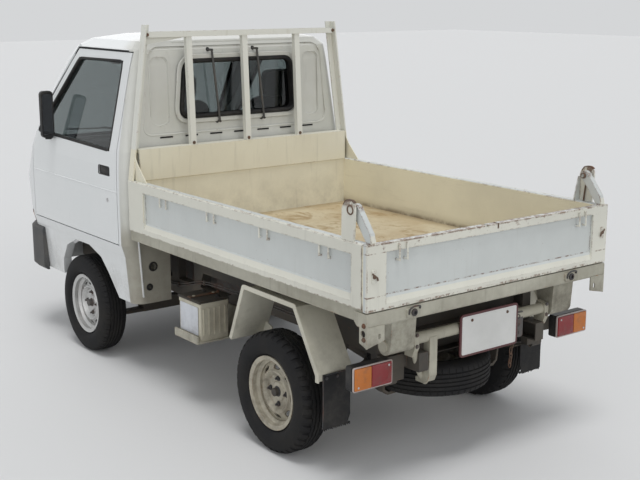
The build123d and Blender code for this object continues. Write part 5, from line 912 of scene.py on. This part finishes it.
PLATE_X = -24
PLATE_Z = 588
rim = Form("plate_rim")
rim.band([(PLATE_X + a, 1580, PLATE_Z + b) for a, b in oblong(166, 87, 13)], 11, 7, REAR, True)
rim.use("plate")
rim.band([(PLATE_X + a, 1584, PLATE_Z + b) for a, b in oblong(153, 75, 10)], 3, 1.6, REAR, True, 0.5)
rim.use("rusty")
for across in (-105, 105):
    rim.bolt((PLATE_X + across, 1584, PLATE_Z + 62), REAR, 4.5)
rim.done("plate_rim")

carrier = Form("cast")
carrier.slab(oblong(34, 58, 10), at(-208, 1566, 575), 6, 1)
for z in (540, 575, 610):
    carrier.turned([(13, 0), (13, 4), (9, 4), (8, 1), (0.1, 1)], (-208, 1572, z), REAR, 20)
carrier.use("rusty")
CHAIN = [(-176, 1572, 520), (-180, 1570, 490), (-178, 1566, 462), (-186, 1560, 436), (-192, 1552, 412),
         (-196, 1546, 392)]
for index, place in enumerate(CHAIN):
    turn = index % 2
    link = [Vector(place) + Vector((7 * a * (1 - turn), 7 * a * turn, 17 * b)) for a, b in circle(1, 12)]
    carrier.tube(link, 2.4, 6, True, (turn, 1 - turn, 0))
carrier.use("frame_pale").tube(smooth_path([(384, 1560, 575), (350, 1545, 500), (300, 1520, 430),
                                            (262, 1500, 398)]), 13, 14)
carrier.use("cast")
for side in (1, -1):
    for x, y, z in [(384, 1579, 592), (384, 1579, 640), (424, 1570, 640), (514, 1570, 640)]:
        carrier.bolt((side * x, y, z), REAR)
carrier.done("carrier_parts")

# Mudflap wires, bolts and frayed lower edges
for side, end in SIDES:
    flap = Form("spring")
    wire = [(655, 1314.5, 452), (656, 1316, 380), (655, 1315, 300), (657, 1314, 221)]
    flap.tube(smooth_path([(side * x, y, z) for x, y, z in wire]), 2.6, 8)
    wire = [(655, 1314, 452), (600, 1320, 456), (515, 1320, 456)]
    flap.tube(smooth_path([(side * x, y, z) for x, y, z in wire], 4), 2.6, 8)
    for x in (530, 585, 640):
        flap.bolt((side * x, 1319, 440), REAR, 5)
    flap.use("rubber")
    for x in range(519, 650, 10):
        low = 218 - 5 * random.random()
        flap.slab([(x - 5, 224), (x + 5, 224), (x + 3, low), (x - 1, low - 5)], at(0, 1312, 0, side), 5)
    flap.done("mudflap_trim_" + end)

# Battery: lid cover, hold-down and blank paper face
battery = Form("frame")
battery.block((474, 130, 530), (647, 338, 543), 4)
battery.use("battery")
for x in (500, 530, 560, 590, 620):
    battery.block((x - 4, 330, 372), (x + 4, 335.5, 505), 1.5)
battery.use("rusty")
battery.band([(478, 234, 546), (643, 234, 546)], 24, 5)
for x in (478, 643):
    battery.bolt((x, 234, 548), UP)
battery.use("black")
for y in (170, 298):
    battery.turned([(13, 0), (13, 6), (9, 9), (9, 14), (6, 16), (0.1, 16)], (520, y, 540), UP, 20)
battery.use("paper").slab(oblong(82, 70, 4, 3, 234, 442), lambda a, b, c: (642.6 + c, a, b), 0.9)
battery.done("battery_fittings")

# Running gear: coil springs, spring clamps, dampers and brake pipes
COIL_STEPS = 81
COIL_ANGLE = 0.349
COIL_RADIUS = 25.5
LEAF_X = 435
CLAMP = [(-38, 356), (-38, 300), (-36, 262), (-20, 238), (0, 233), (20, 238), (36, 262), (38, 300), (38, 356)]
PIPE_RUN = [(376, -1240, 455), (377, -700, 452), (376, -330, 458), (374, -60, 520), (373, 300, 533),
            (373, 760, 530)]
gear = Form("frame")
for side, end in SIDES:
    coil = Form("spring")
    coil.tube([(side * 482 + COIL_RADIUS * math.cos(k * COIL_ANGLE),
                FRONT_Y + COIL_RADIUS * math.sin(k * COIL_ANGLE), 447 + 100 * k / COIL_STEPS)
               for k in range(COIL_STEPS + 1)], 5.2, 8)
    coil.done("coil_spring_" + end)
    for across in (-21, 21):
        x = side * (LEAF_X + across)
        gear.tube(smooth_path([(x, REAR_Y + y, z) for y, z in CLAMP], 4), 5, 8, False, (1, 0, 0))
        for along in (-38, 38):
            gear.bolt((x, REAR_Y + along, 346), UP, 8)
    gear.block((side * LEAF_X - 34, REAR_Y - 52, 337), (side * LEAF_X + 34, REAR_Y + 52, 346), 2)
    foot = Vector((side * 372, REAR_Y + 44, 262))
    way = Vector((side * 336, REAR_Y + 150, 500)) - foot
    length = way.length
    damper = [(0.1, 0), (14, 0), (14, 14), (21, 18), (23, 24), (23, length * 0.55), (19, length * 0.58),
              (8, length * 0.6), (8, length - 20), (13, length - 18), (13, length), (0.1, length)]
    gear.turned(damper, foot, way)
gear.done("spring_clamps")
pipes = Form("cast")
for drop in (0, 12):
    pipes.tube(smooth_path([(x, y, z - drop) for x, y, z in PIPE_RUN], 6), 3, 8)
pipes.use("frame")
for x, y, z in PIPE_RUN:
    pipes.block((x - 6, y - 8, z - 20), (x + 5, y + 8, z + 7), 2)
pipes.done("brake_pipes")


# Cab inside: crowned seats
def square(u, v):
    """A circle's point pushed out to a square with soft corners."""
    push = (abs(u) ** 6 + abs(v) ** 6) ** (1 / 6)
    return u / push, v / push


SEAT_X = 330
SEAT_STEPS = 18
SEAT_RING = [square(u, v) for u, v in circle(1, 64)]
PIPING_RADIUS = 3.4


def cushion(name, corners, wide, crown, channels, centre_x):
    """A crowned closed form between four side-view corners, with sewn channels and piped edges."""
    low_front, low_rear, high_rear, high_front = (Vector((0, *p)) for p in corners)

    def place(a, b, c, grow=0.0):
        round_off = 1 - 0.10 * (b * b) ** 2 * (1 + 0.6 * (c * c))
        drawn_in = a * (1 - 0.045 * abs(b) ** 3 - 0.05 * abs(c) ** 3)
        top = (high_front * (1 - b) + high_rear * (1 + b)) / 2
        low = (low_front * (1 - b) + low_rear * (1 + b)) / 2
        bulge = crown * (1 - a * a) * (1 - b * b)
        sewn = sum(math.exp(-((a - line) / 0.03) ** 2) for line in channels) * 7 * (1 - b ** 4)
        thick = top - low
        lift = (bulge - sewn + grow) * max(c, 0) ** 2 - 0.12 * thick.length * max(abs(a), abs(b)) ** 8 * c
        point = low + thick * (1 + c) / 2 + thick.normalized() * lift
        point.x = centre_x + drawn_in * wide / 2 * round_off ** 0.25
        return point

    def ring(share, c, grow=0.0):
        return [place(u * share, v * share, c, grow) for u, v in SEAT_RING]

    rows = [ring(step / SEAT_STEPS, 1) for step in range(1, SEAT_STEPS + 1)]
    rows += [ring(1 + 0.035 * (1 - c * c), c) for c in (0.86, 0.6, 0.2, -0.2, -0.6, -0.9, -1)]
    form = Form("cloth")
    form.surface(rows, True, False, True)
    form.use("piping").tube(ring(0.985, 0.97, 2), PIPING_RADIUS, 8, True)
    made = form.done(name, "chassis", 60)
    return made


for side, end in SIDES:
    x = side * SEAT_X
    parts = [
        cushion("seat_cushion_" + end, [(-985, 862), (-487, 862), (-487, 955), (-980, 962)], 452, 16,
                (-0.45, 0.45), x),
        cushion("seat_back_" + end, [(-455, 930), (-350, 1416), (-418, 1418), (-548, 955)], 434, -0.1,
                (-0.45, 0.45), x),
        cushion("seat_head_" + end, [(-352, 1424), (-340, 1558), (-396, 1562), (-412, 1424)], 226, 4, (), x),
    ]
    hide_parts("seats")
    stems = Form("steel")
    for across in (-52, 52):
        stems.tube([(x + across, -384, 1380), (x + across, -378, 1440)], 5, 10, False, (1, 0, 0))
    stems.use("black").block((x - 200, -978, 850), (x + 200, -500, 866), 5)
    stems.tube(smooth_path([(x + side * 232, -520, 900), (x + side * 238, -560, 912),
                            (x + side * 238, -610, 930)], 4), 7)
    stems.done("seat_hardware_" + end)

# Cab inside: door trims, controls, dials, visors and mirror
for side, end in SIDES:
    out = Vector((side, 0, 0))
    wall = abs(hit("door_" + end, (0, -900, 900), out).x)
    trim = Form("dash")
    shape = rounded([(-1330, 760), (-430, 760), (-462, 1150), (-1330, 1160)], 40)
    trim.slab(shape, lambda a, b, c: (side * (wall - c), a, b), 6, 3)
    trim.use("black")
    rest = [(4, -1090, 1000), (34, -1050, 1004), (36, -820, 1004), (4, -780, 1000)]
    trim.band(smooth_path([(side * (wall - inward), y, z) for inward, y, z in rest]), 22, 26, UP, False, 8)
    hub = Vector((side * (wall - 6), -1130, 940))
    trim.turned([(0.1, 0), (24, 0), (24, 8), (16, 14), (0.1, 15)], hub, -out)
    trim.band([hub - out * 16, hub + Vector((-side * 24, 60, -40))], 12, 7, out)
    knob = hub + Vector((-side * 22, 62, -42))
    trim.turned([(0.1, 0), (9, 2), (11, 14), (9, 26), (0.1, 28)], knob, -out, 18)
    trim.done("door_trim_" + end, "door_" + end)

DRIVER_X = -330
controls = Form("black")
lever = [(-40, -1090, 700), (-42, -1080, 800), (-60, -1040, 900), (-70, -1020, 950)]
controls.tube(smooth_path(lever), 7, 12)
knob = [(0.1, -26), (14, -24), (22, -8), (20, 10), (10, 20), (0.1, 22)]
controls.turned(knob, (-71, -1017, 968), (0, 0.2, 1))
boot = [(58, 0), (50, 14), (46, 20), (38, 34), (34, 38), (26, 52), (8, 60)]
controls.turned(boot, (-40, -1090, 694), UP, 28)
controls.tube(smooth_path([(0, -560, 868), (2, -640, 888), (4, -760, 930)]), 9, 12)
controls.tube(smooth_path([(3, -700, 910), (4, -760, 930), (5, -840, 958)]), 14, 14)
for x, wide in [(-455, 56), (-360, 62), (-265, 44)]:
    controls.tube(smooth_path([(x, -1440, 900), (x, -1400, 820), (x, -1380, 765)]), 7)
    controls.slab(oblong(wide / 2, 26, 8), lambda a, b, c: (x + a, -1376 + c + 0.35 * b, 760 + b), 9, 2)
for across in (-1, 1):
    foot = Vector((DRIVER_X + across * 44, -1228, 1090))
    stalk = [(0, 0, 0), (across * 60, 14, 16), (across * 120, 30, 30)]
    controls.tube(smooth_path([foot + Vector(p) for p in stalk]), 6)
controls.done("cab_controls")

FACE_Y = -1322
DIAL_Z = 1092
VENT_Y = -1320
SLATS = 5
dials = Form("black")
dials.slab(oblong(160, 28, 14), lambda a, b, c: (DRIVER_X + a, FACE_Y + c * 0.8, DIAL_Z + b), 4, 1)
dials.use("dial")
for across in (-68, 0, 68):
    place = Vector((DRIVER_X + across, FACE_Y + 3.5, DIAL_Z))
    dials.turned([(0.1, 0.4), (22, 0.4), (23, 1.6), (25, 1.6), (25, 0)], place, REAR, 32)
    for tick in range(9):
        angle = math.radians(220 - tick * 32.5)
        way = Vector((-math.cos(angle), 0, math.sin(angle)))
        dials.band([place + way * radius + REAR * 0.9 for radius in (15, 20)], 1.6, 0.8, REAR, False, 0.2)
dials.use("black")
for x, z, wide, tall in [(0, 1060, 180, 50), (-560, 1065, 70, 50), (560, 1065, 70, 50), (0, 975, 180, 70)]:
    for slat in range(SLATS):
        level = z - tall / 2 + (slat + 0.5) * tall / SLATS
        dials.band([(x - wide / 2, VENT_Y, level), (x + wide / 2, VENT_Y, level)], 3, 10, UP, False, 0.8)
    dials.band([(x + a, VENT_Y, z + b) for a, b in oblong(wide / 2, tall / 2, 8, 3)], 5, 6, REAR, True)
dials.use("dash").slab(oblong(150, 55, 14), at(355, -1325, 1030), 5, 2)
dials.use("black").block((320, -1322, 1062), (390, -1314, 1072), 2)
dials.done("dash_fittings")

visors = Form("headlining")
for side in (1, -1):
    shape = rounded([(70, 0), (430, 0), (415, 130), (85, 130)], 24)
    top_y = on_front(side * 250, 1640).y + 62
    visors.slab(shape, lambda a, b, c: (side * a, top_y + b * 0.85, 1668 - b * 0.45 - c), 16, 6)
stalk = on_front(0, 1650) + REAR * 40
visors.use("black").tube(smooth_path([stalk, stalk + Vector((0, 30, -24)), stalk + Vector((0, 52, -52))]), 6)
shell = oblong(115, 30, 20, 5)
visors.slab(shell, at(0, stalk.y + 50, stalk.z - 70), 16, 5)
visors.use("mirror").slab([p * 0.92 for p in shell], at(0, stalk.y + 66, stalk.z - 70), 1)
visors.done("visors_and_mirror")

# Floor, backdrop and light
STAGE_COLOUR = (0.66, 0.67, 0.68)
FLOOR_COLOUR = (0.70, 0.70, 0.70)
SKY_COLOUR = (0.94, 0.97, 1.0)
SKY_STRENGTH = 0.44
floor = bpy.data.meshes.new("floor")
floor.from_pydata([(-40, -40, 0), (40, -40, 0), (40, 40, 0), (-40, 40, 0)], [], [(0, 1, 2, 3)])
floor_object = bpy.data.objects.new("floor", floor)
bpy.context.scene.collection.objects.link(floor_object)
floor.materials.append(Shader("floor").finish(FLOOR_COLOUR, 0.85))

world = bpy.data.worlds.new("studio")
bpy.context.scene.world = world
studio = Tree(world)
seen = studio.node("Background", Color=STAGE_COLOUR)
lighting = studio.node("Background", Color=SKY_COLOUR, Strength=SKY_STRENGTH)
rays = studio.node("LightPath").outputs
direct = studio.math("MAXIMUM", rays["Is Camera Ray"], rays["Is Glossy Ray"])
direct = studio.math("MAXIMUM", direct, rays["Is Transmission Ray"])
choose = studio.fill(studio.node("MixShader"), direct, lighting.outputs[0], seen.outputs[0])
studio.node("OutputWorld", Surface=choose.outputs[0])

# Name, where it shines from, strength, angle of softness
LIGHTS = [("sky", (0.5, 0.7, 3.4), 1.24, 22), ("rear", (0.4, 3.0, 1.3), 0.62, 40),
          ("side", (3.0, 0.6, 1.0), 0.42, 50), ("front", (-1.5, -3.0, 1.6), 0.40, 60)]
for name, place, power, angle in LIGHTS:
    data = bpy.data.lights.new(name, "SUN")
    data.energy = power
    data.angle = math.radians(angle)
    light = bpy.data.objects.new(name, data)
    bpy.context.scene.collection.objects.link(light)
    light.location = place
    light.rotation_euler = (-Vector(place)).to_track_quat("-Z", "Y").to_euler()
